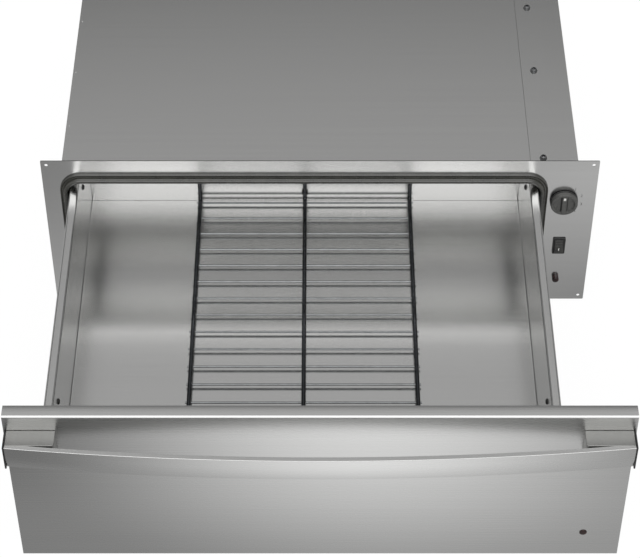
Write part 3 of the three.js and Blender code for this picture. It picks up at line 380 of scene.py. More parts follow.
def repeat(name, shape, places, finish, turns=None):
    """A mesh with a copy of a shape at each place in mm. The shape is a mesh about its origin."""
    points = bpy.data.meshes.new(name)
    points.from_pydata([[c * MM for c in place] for place in places], [], [])
    layer = points.attributes.new("turn", "FLOAT_VECTOR", "POINT")
    for item, angles in zip(layer.data, turns or [(0, 0, 0)] * len(places)):
        item.vector = [math.radians(a) for a in angles]
    carrier = bpy.data.objects.new(name, points)
    model = bpy.data.objects.new(name + "_shape", shape)
    for made in (carrier, model):
        bpy.context.scene.collection.objects.link(made)
    mesh = grow(carrier, repeated, {"Copy": model, "Finish": finish})
    bpy.data.objects.remove(model)
    return mesh


def circle(radius, count=16):
    """A round outline in mm."""
    steps = [2 * math.pi * k / count for k in range(count)]
    return [(radius * math.cos(a), radius * math.sin(a)) for a in steps]


def turned(profile, count=48):
    """A mesh turned about z. The profile's (radius, z) points in mm run from one pole to the other."""
    shape = bmesh.new()
    rings = []
    for radius, z in profile:
        if radius == 0:
            rings.append([shape.verts.new((0, 0, z * MM))])
        else:
            rings.append([shape.verts.new((x * MM, y * MM, z * MM)) for x, y in circle(radius, count)])
    for low, high in zip(rings, rings[1:]):
        for k in range(count):
            on = (k + 1) % count
            corners = [low[k % len(low)], low[on % len(low)], high[on % len(high)], high[k % len(high)]]
            shape.faces.new(list(dict.fromkeys(corners)))
    bmesh.ops.recalc_face_normals(shape, faces=shape.faces)
    mesh = bpy.data.meshes.new("turned")
    shape.to_mesh(mesh)
    shape.free()
    return mesh


def joined(*meshes):
    """One mesh of several, with their materials kept."""
    made = [bpy.data.objects.new(mesh.name, mesh) for mesh in meshes]
    for item in made:
        bpy.context.scene.collection.objects.link(item)
    with bpy.context.temp_override(active_object=made[0], selected_editable_objects=made):
        bpy.ops.object.join()
    mesh = made[0].data
    bpy.data.objects.remove(made[0])
    return mesh


def placed(mesh, place, finish=None, turn=None):
    """Moves a mesh to its place in mm, turned first by the angles in degrees."""
    if turn:
        for axis, angle in zip("XYZ", turn):
            mesh.transform(Matrix.Rotation(math.radians(angle), 4, axis))
    mesh.transform(Matrix.Translation([c * MM for c in place]))
    if finish:
        mesh.materials.clear()
        mesh.materials.append(finish)
    return mesh


def crisp(mesh, angle=40.0):
    """Shades a mesh so that its flat faces stay flat and only its bends shade round."""
    carrier = bpy.data.objects.new(mesh.name, smooth(mesh, angle))
    bpy.context.scene.collection.objects.link(carrier)
    even = carrier.modifiers.new("even", "WEIGHTED_NORMAL")
    even.keep_sharp = True
    return settled(mesh.name, carrier)


def merged(node):
    """A CAD solid's mesh with its loose triangles joined into whole faces."""
    body = bmesh.new()
    body.from_mesh(nodes[node].data)
    bmesh.ops.remove_doubles(body, verts=body.verts, dist=0.002 * MM)
    bmesh.ops.dissolve_limit(body, angle_limit=math.radians(0.5), verts=body.verts, edges=body.edges)
    mesh = bpy.data.meshes.new(node)
    body.to_mesh(mesh)
    body.free()
    return mesh


def eased(mesh, finish, edge, steps=2, angle=35.0):
    """Rounds a mesh's sharp edges by so many mm and gives it a finish."""
    mesh.materials.clear()
    mesh.materials.append(finish)
    if edge:
        carrier = bpy.data.objects.new(mesh.name, mesh)
        bpy.context.scene.collection.objects.link(carrier)
        rounding = carrier.modifiers.new("rounding", "BEVEL")
        rounding.width = edge * MM
        rounding.segments = steps
        rounding.limit_method = "ANGLE"
        rounding.angle_limit = math.radians(angle)
        mesh = settled(mesh.name, carrier)
    return crisp(mesh)


def dress(node, finish, slot, edge):
    """Replaces a CAD solid by the same shape with eased edges."""
    keep(node + "_finished", eased(merged(node), finish, edge), nodes[node]["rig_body"], slot, node)


def corner(back, here, on, radius, steps):
    """The points of a rounded corner in a flat route."""
    here = Vector(here)
    into = (Vector(back) - here).normalized()
    out = (Vector(on) - here).normalized()
    half = into.angle(out) / 2
    centre = here + (into + out).normalized() * radius / math.sin(half)
    start = here + into * radius / math.tan(half) - centre
    end = here + out * radius / math.tan(half) - centre
    sweep_angle = start.angle_signed(end)
    first = math.atan2(start.y, start.x)
    turns = [first - sweep_angle * k / steps for k in range(steps + 1)]
    return [(centre.x + radius * math.cos(t), centre.y + radius * math.sin(t)) for t in turns]


def rounded(corners, radii, steps=5, closed=False):
    """A flat route with its corners rounded. The radii are one for all, or one for each corner."""
    count = len(corners)
    radii = radii if isinstance(radii, (list, tuple)) else [radii] * count
    route = []
    for k, (here, radius) in enumerate(zip(corners, radii)):
        if radius == 0 or (not closed and k in (0, count - 1)):
            route.append(here)
        else:
            route += corner(corners[k - 1], here, corners[(k + 1) % count], radius, steps)
    return route


def sheet_outline(route, gauge):
    """The closed outline of a folded sheet: a route, and the same route one gauge to its right."""
    places = [Vector(place) for place in route]
    other = []
    for k, here in enumerate(places):
        before = (here - places[max(k - 1, 0)]).normalized()
        after = (places[min(k + 1, len(places) - 1)] - here).normalized()
        before = before if before.length else after
        after = after if after.length else before
        along = (before + after).normalized()
        other.append(here + Vector((along.y, -along.x)) * gauge / along.dot(before))
    return [tuple(place) for place in places + other[::-1]]


def lofted(name, rings, finish):
    """A closed mesh through rings of points in mm, capped at both ends."""
    form = bmesh.new()
    rows = [[form.verts.new([c * MM for c in place]) for place in ring] for ring in rings]
    for low, high in zip(rows, rows[1:]):
        for k in range(len(low)):
            form.faces.new([low[k - 1], low[k], high[k], high[k - 1]])
    form.faces.new(rows[0])
    form.faces.new(rows[-1])
    bmesh.ops.recalc_face_normals(form, faces=form.faces)
    mesh = bpy.data.meshes.new(name)
    form.to_mesh(mesh)
    form.free()
    mesh.materials.append(finish)
    return mesh


def drawn(name, outline, axis, start, end, finish):
    """A flat outline drawn out along x, y or z."""
    order = {"x": lambda u, v, w: (w, u, v), "y": lambda u, v, w: (u, w, v), "z": lambda u, v, w: (u, v, w)}
    return lofted(name, [[order[axis](u, v, w) for u, v in outline] for w in (start, end)], finish)


def extent(node):
    """A node's lowest and highest corner in mm."""
    low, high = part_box(node)
    return [c / MM for c in low], [c / MM for c in high]


# ---- Trim ----

# The trim's top edge faces take a dark finish: painted shade, which draws the dark line along that edge.
TRIM_TOP = extent("trim_frame")[1][2]
TRIM_EDGE = 0.35
EDGE_SHADE_BAND = 0.4
trim = eased(merged("trim_frame"), trim_steel, TRIM_EDGE)
trim.materials.append(trim_edge_painted_shade)
for face in trim.polygons:
    if face.center.z / MM > TRIM_TOP - EDGE_SHADE_BAND and face.normal.y > -0.3:
        face.material_index = 1
keep("trim_frame_sheet", trim, "chassis", "panel_steel", "trim_frame")


# ---- Gasket ----

GASKET_X = (-351.05, 308.05)
GASKET_Z = (9.0, 226.0)
GASKET_CORNER = 30.0

# Each point is how far it stands off the trim and how far it is inside the gasket's outer edge:
# a low outer lip, a valley, and a hollow bulb that the front's liner squeezes.
gasket_section = [
    (0.3, 0.2), (2.4, 0.0), (3.2, 0.3), (3.6, 0.9), (3.3, 1.7), (2.7, 2.4), (2.5, 3.3), (3.0, 4.3),
    (5.2, 4.8), (8.0, 5.0), (9.2, 5.5), (9.8, 6.4), (10.0, 7.6), (9.9, 9.0), (9.3, 10.3), (8.2, 11.1),
    (6.6, 11.5), (0.3, 11.5),
]
gasket_ring = [
    (GASKET_X[0], SHUT, GASKET_Z[0]),
    (GASKET_X[1], SHUT, GASKET_Z[0]),
    (GASKET_X[1], SHUT, GASKET_Z[1]),
    (GASKET_X[0], SHUT, GASKET_Z[1]),
]
gasket = sweep(
    "oven_gasket",
    [gasket_ring],
    [(off, -inside) for off, inside in gasket_section],
    gasket_rubber,
    GASKET_CORNER,
    14,
    cyclic=True,
)
keep("oven_gasket", smooth(gasket, 50), "chassis", "gasket_rubber", "door_gasket")


# ---- Rack ----

RAIL_RADIUS = 2.8
RAIL_X = (-170.1, -21.5, 127.1)
RAIL_Z = 87.4
RACK_Y = (SHUT - 437.4, SHUT + 100.6)  # the end uprights' lines
RACK_TOP = 145.4
RAIL_BEND = 7.0
WIRE_RADIUS = 1.6
WIRE_Z = 83.6
WIRE_PITCH = 31.75
WIRE_COUNT = 17
WIRE_FIRST = SHUT + 96.0
WIRE_OVERHANG = 5.0  # past the outer rails' middles
FRONT_WIRE_SET = 4.6  # behind the front uprights' line
RUNNER_RADIUS = 1.7
RUNNER_Z = 81.0
RUNNER_SET = 9.0  # inside the end uprights' lines


def round_ended(start, end, radius, steps=4):
    """A straight wire's route with a radius at each point, rounded over at both ends."""
    a, b = Vector(start), Vector(end)
    along = (b - a).normalized()
    curve = [math.pi / 2 * k / steps for k in range(steps)]
    head = [(a + along * radius * (1 - math.cos(t)), max(math.sin(t), 0.08)) for t in curve]
    tail = [(b - along * radius * (1 - math.cos(t)), max(math.sin(t), 0.08)) for t in curve]
    middle = [(a + along * radius, 1.0), (b - along * radius, 1.0)]
    return [(*place, size) for place, size in head + middle + tail[::-1]]


rails = [
    [(x, RACK_Y[0], RACK_TOP), (x, RACK_Y[0], RAIL_Z), (x, RACK_Y[1], RAIL_Z), (x, RACK_Y[1], RACK_TOP)]
    for x in RAIL_X
]
rack_rails = sweep("rack_rails", rails, circle(RAIL_RADIUS, 20), rails_painted_dark, RAIL_BEND, 8)
runners = [
    round_ended((x, RACK_Y[0] + RUNNER_SET, RUNNER_Z), (x, RACK_Y[1] - RUNNER_SET, RUNNER_Z), RUNNER_RADIUS)
    for x in (RAIL_X[0], RAIL_X[2])
]
rack_runners = sweep("rack_runners", runners, circle(RUNNER_RADIUS, 12), rails_painted_dark)
wire_ends = (RAIL_X[0] - WIRE_OVERHANG, 0, 0), (RAIL_X[2] + WIRE_OVERHANG, 0, 0)
wire_line = [round_ended(*wire_ends, WIRE_RADIUS)]
one_wire = sweep("one_wire", wire_line, circle(WIRE_RADIUS, 14), wires_painted_dim)
wire_places = [(0, WIRE_FIRST - k * WIRE_PITCH, WIRE_Z) for k in range(WIRE_COUNT)]
wire_places.append((0, RACK_Y[0] + FRONT_WIRE_SET, WIRE_Z))
wire_places += [(0, y, RACK_TOP - RAIL_RADIUS) for y in RACK_Y]
rack_wires = repeat("rack_wires", one_wire, wire_places, wires_painted_dim)
rack = joined(rack_rails, rack_runners, rack_wires)
keep("chromed_rack", smooth(rack, 60), "rack", "rack_chrome", "wire_rack", "rack_end_front", "rack_end_rear")


# ---- Pan ----

GAUGE = 1.2
(PAN_OUT_LEFT, PAN_FRONT, _), (PAN_OUT_RIGHT, _, RIM_Z) = extent("drawer_pan")
RIM_WIDTH = 12.0
RIM_EDGE = 3.0
RIM_HEM = 5.0
PAN_LEFT = PAN_OUT_LEFT + RIM_WIDTH
PAN_RIGHT = PAN_OUT_RIGHT - RIM_WIDTH
PAN_REAR = extent("pan_rear_wall")[0][1]
PAN_FLOOR = 79.0
FLOOR_BEND = 1.5
RIM_BEND = 3.0
SEAM_GAP = 0.3

pan_corners = [
    (PAN_OUT_LEFT, RIM_Z - RIM_HEM),
    (PAN_OUT_LEFT, RIM_Z),
    (PAN_LEFT, RIM_Z),
    (PAN_LEFT, PAN_FLOOR),
    (PAN_RIGHT, PAN_FLOOR),
    (PAN_RIGHT, RIM_Z),
    (PAN_OUT_RIGHT, RIM_Z),
    (PAN_OUT_RIGHT, RIM_Z - RIM_HEM),
]
pan_bends = [0, RIM_EDGE, RIM_BEND, FLOOR_BEND, FLOOR_BEND, RIM_BEND, RIM_EDGE, 0]
pan_section = sheet_outline(rounded(pan_corners, pan_bends, 6), GAUGE)
pan = drawn("pan_floor_and_sides", pan_section, "y", PAN_FRONT, PAN_REAR - SEAM_GAP, casing_steel)
keep("pan_floor_and_sides", crisp(pan, 30), "drawer", "casing_steel", "drawer_pan")

# The rear wall stands in the folded sheet, with its own rim turned back along its top.
wall_corners = [
    (PAN_REAR, PAN_FLOOR + SEAM_GAP),
    (PAN_REAR, RIM_Z),
    (PAN_REAR + RIM_WIDTH, RIM_Z),
    (PAN_REAR + RIM_WIDTH, RIM_Z - RIM_HEM),
]
wall_section = sheet_outline(rounded(wall_corners, [0, RIM_BEND, RIM_EDGE, 0], 6), GAUGE)
rear_wall = drawn(
    "pan_rear_wall_sheet", wall_section, "x", PAN_LEFT + SEAM_GAP, PAN_RIGHT - SEAM_GAP, casing_steel
)
keep("pan_rear_wall_sheet", crisp(rear_wall, 30), "drawer", "casing_steel", "pan_rear_wall")


# ---- Front ----

TOP_CROWN = 0.7
FRONT_EDGE = 0.6

# The front's top flange springs up a little between its two bends.
(_, FLANGE_FRONT, _), (_, FLANGE_REAR, FLANGE_TOP) = extent("front_skin")
skin_form = bmesh.new()
skin_form.from_mesh(merged("front_skin"))
for step in range(1, 8):
    cut = FLANGE_FRONT + (FLANGE_REAR - FLANGE_FRONT) * step / 8
    everything = skin_form.verts[:] + skin_form.edges[:] + skin_form.faces[:]
    bmesh.ops.bisect_plane(skin_form, geom=everything, plane_co=(0, cut * MM, 0), plane_no=(0, 1, 0))
for vert in skin_form.verts:
    depth = (vert.co.y / MM - FLANGE_FRONT) / (FLANGE_REAR - FLANGE_FRONT)
    if vert.co.z / MM > FLANGE_TOP - 0.1:
        vert.co.z += TOP_CROWN * MM * (1 - (2 * depth - 1) ** 2)
front_mesh = bpy.data.meshes.new("front_skin_formed")
skin_form.to_mesh(front_mesh)
skin_form.free()
front_mesh = eased(front_mesh, panel_steel, FRONT_EDGE, 4)
keep("front_skin_formed", front_mesh, "drawer", "panel_steel", "front_skin")


# ---- Handle ----

BAR_EDGE = 0.8
BAR_BOW = 20.0
BAR_NOSE = 2.6
BAR_CROWN = 3.4
BAR_THICK = 6.4
BAR_TRIMMED = (0.4, 0.6)
BAR_STATIONS = 72

(_, BAR_FRONT, BAR_LOW), (BAR_END, _, BAR_TOP) = extent("handle_bar")
BAR_FRONT -= BAR_NOSE
BAR_TOP -= BAR_TRIMMED[0]
BAR_LOW += BAR_TRIMMED[1]
bar_radius = (BAR_END**2 + BAR_BOW**2) / (2 * BAR_BOW)
bar_height = BAR_TOP - BAR_LOW
crown_steps = [k / 8 for k in range(9)]
# The face stands upright at its top and curls in under itself towards its lower edge.
bar_face = [(bar_height * t, BAR_CROWN * t**3) for t in crown_steps]
bar_outline = bar_face + [(bar_height, BAR_THICK), (0.0, BAR_THICK)]
bar_edges = [BAR_EDGE] + [0] * 7 + [BAR_EDGE, 0.4, 0.4]
bar_section = rounded(bar_outline, bar_edges, 4, closed=True)
half_turn = math.asin(BAR_END / bar_radius)
bar_rings = []
for station in range(BAR_STATIONS + 1):
    turn = half_turn * (2 * station / BAR_STATIONS - 1)
    bar_rings.append(
        [
            (
                (bar_radius - inset) * math.sin(turn),
                BAR_FRONT + bar_radius - (bar_radius - inset) * math.cos(turn),
                BAR_TOP - down,
            )
            for down, inset in bar_section
        ]
    )
bar = lofted("handle_bar_bowed", bar_rings, panel_steel)
keep("handle_bar_bowed", crisp(bar, 30), "drawer", "panel_steel", "handle_bar")


# ---- Knob ----

CONTROL_X = 331.0
KNOB_Z = sum(corner[2] for corner in extent("control_knob")) / 2

knob_base = turned([(0, 0.8), (18.6, 0.8), (19.0, 1.2), (19.0, 3.2), (18.4, 3.4), (0, 3.4)], 72)
knob_profile = [
    (0, 3.2), (18.0, 3.2), (18.5, 3.6), (18.3, 8.2), (17.9, 9.2),
    (17.2, 9.7), (16.4, 9.8), (15.0, 9.8), (14.5, 9.5), (14.1, 8.8), (13.6, 7.6), (13.0, 7.2), (0, 7.0),
]
knob_body = turned(knob_profile, 72)
grip_outline = rounded([(-3.3, -14.6), (3.3, -14.6), (3.3, 14.6), (-3.3, 14.6)], 1.5, 5, closed=True)
grip = eased(drawn("grip", grip_outline, "z", 6.8, 10.5, knob_plastic), knob_plastic, 0.6, 3)
pointer_outline = rounded([(-1.5, 9.0), (1.5, 9.0), (1.5, 13.4), (-1.5, 13.4)], 0.6, 4, closed=True)
pointer = drawn("pointer", pointer_outline, "z", 10.3, 10.58, white_print)
# The base ring's black, darker than the knob's grey nylon, is painted shade for the dark gap at the knob's
# foot.
knob_base.materials.append(black_plastic)
knob_body.materials.append(knob_plastic)
knob_pieces = [crisp(knob_base, 35), crisp(knob_body, 35), grip, pointer]
# Thin dark strips laid on the dish either side of the grip: painted shade that stands for the slots there.
for way in (-1, 1):
    groove = [(way * 3.2, -12.6), (way * 5.0, -12.0), (way * 5.0, 12.0), (way * 3.2, 12.6)]
    knob_pieces.append(drawn("groove", groove, "z", 6.9, 7.25, black_plastic))
knob = joined(*knob_pieces)
knob = placed(knob, (CONTROL_X, SHUT, KNOB_Z), None, (90, 0, 0))
keep("thermostat_knob", knob, "knob", "black_plastic", "control_knob")


# Plain numbers printed on the trim, where the pointer comes to them.
PRINT_RADIUS = 25.0
PRINT_SIZE = 6.5
PRINT_THICK = 0.03


def dial_number(text, angle):
    """One printed figure on the trim, at an angle clockwise from the top of the knob."""
    letters = bpy.data.curves.new("figure", "FONT")
    letters.body = text
    letters.size = PRINT_SIZE * MM
    letters.extrude = PRINT_THICK * MM
    letters.align_x = "CENTER"
    letters.align_y = "CENTER"
    carrier = bpy.data.objects.new("figure", letters)
    bpy.context.scene.collection.objects.link(carrier)
    turn = math.radians(angle)
    across = CONTROL_X + PRINT_RADIUS * math.sin(turn)
    place = (across, SHUT - PRINT_THICK, KNOB_Z + PRINT_RADIUS * math.cos(turn))
    return placed(settled("figure", carrier), place, grey_print, (90, 0, 0))


figure_angles = {"1": 35, "2": 70, "3": 105, "4": 140}
figures = joined(*[dial_number(text, angle) for text, angle in figure_angles.items()])
keep("dial_figures", figures, "chassis", "black_plastic")


# ---- Lamp and lens ----

LAMP_Z = 30.5
lamp_profile = [
    (0, -22.0), (4.0, -22.0), (4.0, -0.4), (4.7, -0.4), (4.7, 5.2),
    (4.45, 6.2), (3.7, 7.0), (2.2, 7.35), (0, 7.4),
]
lamp = placed(turned(lamp_profile, 40), (CONTROL_X, SHUT, LAMP_Z), red_lens, (90, 0, 0))
keep("panel_lamp_dome", crisp(lamp, 35), "chassis", "red_lens", "panel_lamp")
lens_profile = [
    (0, -13.5), (3.5, -13.5), (3.5, 0.1), (4.75, 0.1), (4.75, 0.5), (4.3, 0.95), (3.0, 1.2), (0, 1.3),
]
FRONT_FACE = extent("front_skin")[0][1]
lens = placed(turned(lens_profile, 40), (CONTROL_X, FRONT_FACE, LAMP_Z), red_lens, (90, 0, 0))
keep("front_lens", crisp(lens, 35), "drawer", "red_lens", "indicator_lens")


# ---- Rocker ----

ROCKER_Z = 92.5
ROCKER_PIVOT = 2.0
ROCKER_TILT = 10.0
RIDGE_DEPTH = 1.2


def on_rocker(mesh):
    """Turns a mesh laid out about the rocker's pivot to the rocker's place at rest."""
    return placed(mesh, (CONTROL_X, SHUT + ROCKER_PIVOT, ROCKER_Z), None, (-ROCKER_TILT, 0, 0))


rocker_parts = [eased(merged("power_rocker"), switch_plastic, 0.9, 3)]
# The ridges are raised ribs in the paler knob nylon; their paler colour is a painted highlight along each
# rib.
for rise, depth in ((9.4, 6.35), (4.9, 5.75), (0.2, 5.0)):
    ridge = rounded([(-4.6, -0.45), (4.6, -0.45), (4.6, 0.45), (-4.6, 0.45)], 0.44, 4, closed=True)
    outline = [(u, rise + v) for u, v in ridge]
    raised = drawn("ridge", outline, "y", -depth, -depth + RIDGE_DEPTH, knob_plastic)
    rocker_parts.append(on_rocker(eased(raised, knob_plastic, 0.25)))
mark = rounded([(-0.55, -6.9), (0.55, -6.9), (0.55, -3.2), (-0.55, -3.2)], 0.3, 3, closed=True)
rocker_parts.append(on_rocker(drawn("mark", mark, "y", -5.95, -5.0, white_print)))
keep("rocker_with_ridges", joined(*rocker_parts), "rocker", "black_plastic", "power_rocker")


# ---- Screws ----

DOME_HEIGHT = 4.0
recess = [(0, 1.6), (1.9, 1.6), (2.2, 3.9)]
dome = turned([*recess, (2.8, DOME_HEIGHT), (3.6, 3.5), (4.1, 2.6), (4.3, 1.6), (4.3, 0.9), (0, 0.9)], 30)
washer_profile = [
    (0, 1.0), (4.3, 1.0), (4.8, 0.7), (5.0, 0.3), (5.0, 0), (2.0, 0), (1.8, -9.0), (0, -9.0),
]
washer = turned(washer_profile, 32)
cover_screw = joined(crisp(dome, 35), crisp(washer, 35))
cover_names = [f"cover_screw_{count}" for count in range(1, 5)]
cover_places = []
for name in cover_names:
    low, high = extent(name)
    cover_places.append(((low[0] + high[0]) / 2, (low[1] + high[1]) / 2, high[2] - DOME_HEIGHT))
cover_turns = [(0, 0, angle) for angle in (12, 40, 5, 27)]
cover_screws = repeat("cover_screws", cover_screw, cover_places, screw_steel, cover_turns)
keep("cover_screws", crisp(cover_screws, 25), "chassis", "slide_zinc", *cover_names)

PAN_SCREW_HEAD = 2.2
pan_head = turned(
    [
        (0, 1.1), (0.9, 1.1), (1.3, 2.1), (2.0, PAN_SCREW_HEAD), (2.9, 1.9), (3.6, 1.2), (3.9, 0.4),
        (3.9, 0), (1.9, 0), (1.8, -2.6), (0, -2.6),
    ],
    28,
)
sides = ("left", "right")
pan_names = [f"pan_screw_{side}_{end}" for side in sides for end in ("front", "rear")]
pan_places = []
for name in pan_names:
    low, high = extent(name)
    wall = PAN_LEFT if "left" in name else PAN_RIGHT
    pan_places.append((wall, (low[1] + high[1]) / 2, (low[2] + high[2]) / 2))
pan_turns = [(0, 90 if "left" in name else -90, 0) for name in pan_names]
pan_screws = repeat("pan_screws", pan_head, pan_places, black_plastic, pan_turns)
keep("pan_screws", crisp(pan_screws, 35), "drawer", "black_plastic", *pan_names)


# ---- Pieces that keep the frame's shape, with eased edges ----

dressed = [
    ("front_liner", casing_steel, "casing_steel", 0.4),
    ("front_insulation", mineral_wool, "mineral_wool", 1.5),
    ("base_tray", casing_steel, "casing_steel", 0.4),
    ("back_panel", casing_steel, "casing_steel", 0.3),
    ("top_cover", casing_steel, "casing_steel", 0.35),
    ("control_cover", casing_steel, "casing_steel", 0.35),
    ("partition", casing_steel, "casing_steel", 0.3),
    ("left_side", side_steel, "casing_steel", 0.3),
    ("right_side", side_steel, "casing_steel", 0.3),
    ("heat_reflector", zinc_steel, "slide_zinc", 0.3),
    ("element_support_1", zinc_steel, "slide_zinc", 0.3),
    ("element_support_2", zinc_steel, "slide_zinc", 0.3),
    ("heating_element", heater_sheath, "heater_sheath", 0.0),
    ("thermostat", black_plastic, "black_plastic", 0.6),
    ("thermostat_shaft", zinc_steel, "slide_zinc", 0.4),
    ("thermal_cutout", ceramic, "ceramic", 0.5),
    ("terminal_block", ceramic, "ceramic", 0.4),
    ("cable_gland", black_plastic, "black_plastic", 0.5),
    ("wiring_harness", harness_sleeve, "harness_sleeve", 0.0),
    ("rocker_bezel", black_plastic, "black_plastic", 1.0),
    ("rack_bumper", black_plastic, "black_plastic", 0.5),
]
for side in sides:
    dressed += [
        (f"handle_post_{side}", post_steel, "panel_steel", 0.8),
        (f"handle_cap_{side}", black_plastic, "black_plastic", 0.6),
        (f"handle_screw_{side}", zinc_steel, "slide_zinc", 0.3),
        (f"slide_bracket_{side}", zinc_steel, "slide_zinc", 0.3),
        (f"slide_outer_{side}", zinc_steel, "slide_zinc", 0.35),
        (f"slide_middle_{side}", zinc_steel, "slide_zinc", 0.35),
        (f"slide_inner_{side}", zinc_steel, "slide_zinc", 0.35),
        (f"ball_cage_outer_{side}", zinc_steel, "slide_zinc", 0.0),
        (f"ball_cage_inner_{side}", zinc_steel, "slide_zinc", 0.0),
    ]
for node, finish, slot, edge in dressed:
    dress(node, finish, slot, edge)


# ---- Floor, surround and camera ----

FLOOR_Z = -15.2
FLOOR_WHITE = 1.03
WHITE_SHARE = 0.93  # of what the camera sees; the rest is matte and takes the drawer's shadow
floor_mesh = bpy.data.meshes.new("floor")
reach = 6000 * MM
floor_mesh.from_pydata(
    [(x, y, FLOOR_Z * MM) for x, y in ((-reach, -reach), (reach, -reach), (reach, reach), (-reach, reach))],
    [],
    [(0, 1, 2, 3)],
)
floor = bpy.data.objects.new("floor", floor_mesh)
bpy.context.scene.collection.objects.link(floor)
floor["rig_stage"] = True

made, tree, out = new_material("studio_floor")
light_path = put(tree, "ShaderNodeLightPath")
matte = put(tree, "ShaderNodeBsdfDiffuse", {"Color": linear("#f4f4f4")})
glow = put(tree, "ShaderNodeEmission", {"Color": (1, 1, 1, 1), "Strength": FLOOR_WHITE})
clear_rays = put(
    tree,
    "ShaderNodeMath",
    {0: light_path.outputs["Is Camera Ray"], 1: light_path.outputs["Is Transmission Ray"]},
    operation="MAXIMUM",
)
seen = put(tree, "ShaderNodeMath", {0: clear_rays, 1: WHITE_SHARE}, operation="MULTIPLY")
shown = put(tree, "ShaderNodeMixShader", {0: seen, 1: matte, 2: glow})

# Mirrored rays see this in place of the white floor: a pale pool ahead of the drawer, and a level
# beside it that changes from front to back. No lamp or room makes either. They are chosen levels.
POOL = (60.0, -1040.0)
POOL_REACH = (275.0, 200.0)
POOL_FADE = 1.9  # reaches out from the middle to where the pool ends
BESIDE_Y = (-900.0, -300.0)
BESIDE_X = (-450.0, 450.0)
place = put(tree, "ShaderNodeTexCoord").outputs["Object"]
laid = put(
    tree,
    "ShaderNodeMapping",
    {
        "Vector": place,
        "Location": [-POOL[0] / POOL_REACH[0], -POOL[1] / POOL_REACH[1], 0.0],
        "Scale": [1 / (POOL_REACH[0] * MM), 1 / (POOL_REACH[1] * MM), 0.0],
    },
)
far = put(tree, "ShaderNodeVectorMath", {0: laid}, operation="LENGTH")
pool = put(
    tree,
    "ShaderNodeMapRange",
    {0: far.outputs["Value"], 1: 0.0, 2: POOL_FADE, 3: 1.0, 4: 0.0},
    interpolation_type="SMOOTHSTEP",
)
across = put(tree, "ShaderNodeSeparateXYZ", {0: place})
front, rear = [place * MM for place in BESIDE_Y]
along = put(tree, "ShaderNodeMapRange", {0: across.outputs["Y"], 1: front, 2: rear, 3: 0.0, 4: 1.0})
on_left = ramp(tree, along.outputs[0], [(0.0, 0.24), (0.1, 0.33), (0.6, 0.29), (1.0, 0.47)])
on_right = ramp(tree, along.outputs[0], [(0.0, 0.42), (0.1, 0.5), (0.35, 0.52), (0.6, 0.6), (1.0, 0.33)])
left, right = [place * MM for place in BESIDE_X]
side_of = put(tree, "ShaderNodeMapRange", {0: across.outputs["X"], 1: left, 2: right, 3: 0.0, 4: 1.0})
slope = put(tree, "ShaderNodeMix", {0: side_of, 2: on_left, 3: on_right}, data_type="FLOAT")
pooled = put(tree, "ShaderNodeMath", {0: pool, 1: slope.outputs[0]}, operation="ADD")
mirrored = put(tree, "ShaderNodeEmission", {"Color": (1, 1, 1, 1), "Strength": pooled})
end = put(tree, "ShaderNodeMixShader", {0: light_path.outputs["Is Glossy Ray"], 1: shown, 2: mirrored})
tree.links.new(end.outputs[0], out.inputs[0])
floor_mesh.materials.append(made)

world = bpy.data.worlds.new("studio_surround")
bpy.context.scene.world = world
world.use_nodes = True
tree = world.node_tree
tree.nodes.clear()
out = tree.nodes.new("ShaderNodeOutputWorld")
aim = put(tree, "ShaderNodeTexCoord").outputs["Generated"]
light_path = put(tree, "ShaderNodeLightPath")
KEY_RISE = 46.0
KEY_LEVEL = 1.6
KEY_EDGE = 43  # degrees from its middle to where it ends
KEY_CORE = 18
SIDE_LEVEL = 0.55
key_aim = (0.0, -math.cos(math.radians(KEY_RISE)), math.sin(math.radians(KEY_RISE)))
to_key = put(tree, "ShaderNodeVectorMath", {0: aim, 1: key_aim}, operation="DOT_PRODUCT")
outside, inside = [math.cos(math.radians(angle)) for angle in (KEY_EDGE, KEY_CORE)]
key = put(
    tree,
    "ShaderNodeMapRange",
    {0: to_key.outputs["Value"], 1: outside, 2: inside, 3: 0.0, 4: KEY_LEVEL},
    interpolation_type="SMOOTHSTEP",
)
parts = put(tree, "ShaderNodeSeparateXYZ", {0: aim})
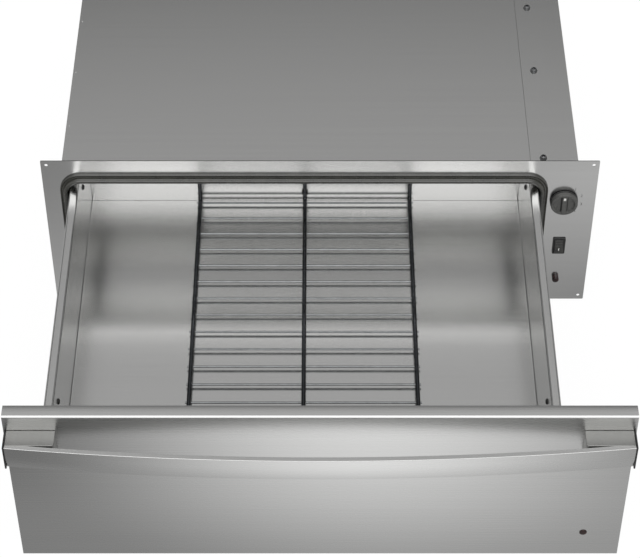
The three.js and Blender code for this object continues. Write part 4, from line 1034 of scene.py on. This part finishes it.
# Behind the part the surround is dim up to about 37 degrees and pale above. Its levels by height
# are chosen for how the steel shades, and stand for walls and a ceiling that aren't modelled.
heights = [(0.2, 0.5), (0.42, 0.12), (0.57, 0.08), (0.66, 0.68), (0.69, 0.44), (0.72, 0.42), (0.738, 0.64)]
rise = ramp(tree, parts.outputs["Z"], heights, "EASE")
behind = put(
    tree,
    "ShaderNodeMapRange",
    {0: parts.outputs["Y"], 1: 0.2, 2: 0.55, 3: 0.0, 4: 1.0},
    interpolation_type="SMOOTHSTEP",
)
ambient = put(tree, "ShaderNodeMix", {0: behind, 2: SIDE_LEVEL, 3: rise}, data_type="FLOAT")
level = put(tree, "ShaderNodeMath", {0: ambient.outputs[0], 1: key}, operation="ADD")
lit = put(tree, "ShaderNodeBackground", {"Color": (1, 1, 1, 1), "Strength": level})
white = put(tree, "ShaderNodeBackground", {"Color": (1, 1, 1, 1), "Strength": 1.0})
shown = put(tree, "ShaderNodeMixShader", {0: light_path.outputs["Is Camera Ray"], 1: lit, 2: white})
tree.links.new(shown.outputs[0], out.inputs[0])

# A soft lamp under the top cover stands for the light that steel walls pass on inside it.
LAMP_SIZE = (590.0, 202.0)
LAMP_RADIANCE = 0.38
area = LAMP_SIZE[0] * LAMP_SIZE[1] * MM * MM
fill = bpy.data.lights.new("cavity_fill", "AREA")
fill.shape = "RECTANGLE"
fill.size = LAMP_SIZE[0] * MM
fill.size_y = LAMP_SIZE[1] * MM
fill.energy = LAMP_RADIANCE * math.pi * area
cavity_fill = bpy.data.objects.new("cavity_fill", fill)
cavity_fill.location = (-21.5 * MM, (SHUT + 127.0) * MM, 227.0 * MM)
cavity_fill.visible_camera = False
bpy.context.scene.collection.objects.link(cavity_fill)

EYE = (-0.1, -2390.5, 2116.4)
EYE_DOWN = 46.355  # degrees below level
LENS = 118.23
SHIFT = 0.0875
camera = bpy.data.cameras.new("camera")
camera.sensor_width = 36.0
camera.lens = LENS
camera.shift_y = SHIFT
camera.clip_start = 0.05
camera.clip_end = 50.0
eye = bpy.data.objects.new("camera", camera)
bpy.context.scene.collection.objects.link(eye)
eye.location = [place * MM for place in EYE]
eye.rotation_euler = (math.radians(90 - EYE_DOWN), 0.0, 0.0)
bpy.context.scene.camera = eye
bpy.context.scene.view_settings.view_transform = "Standard"

low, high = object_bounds()
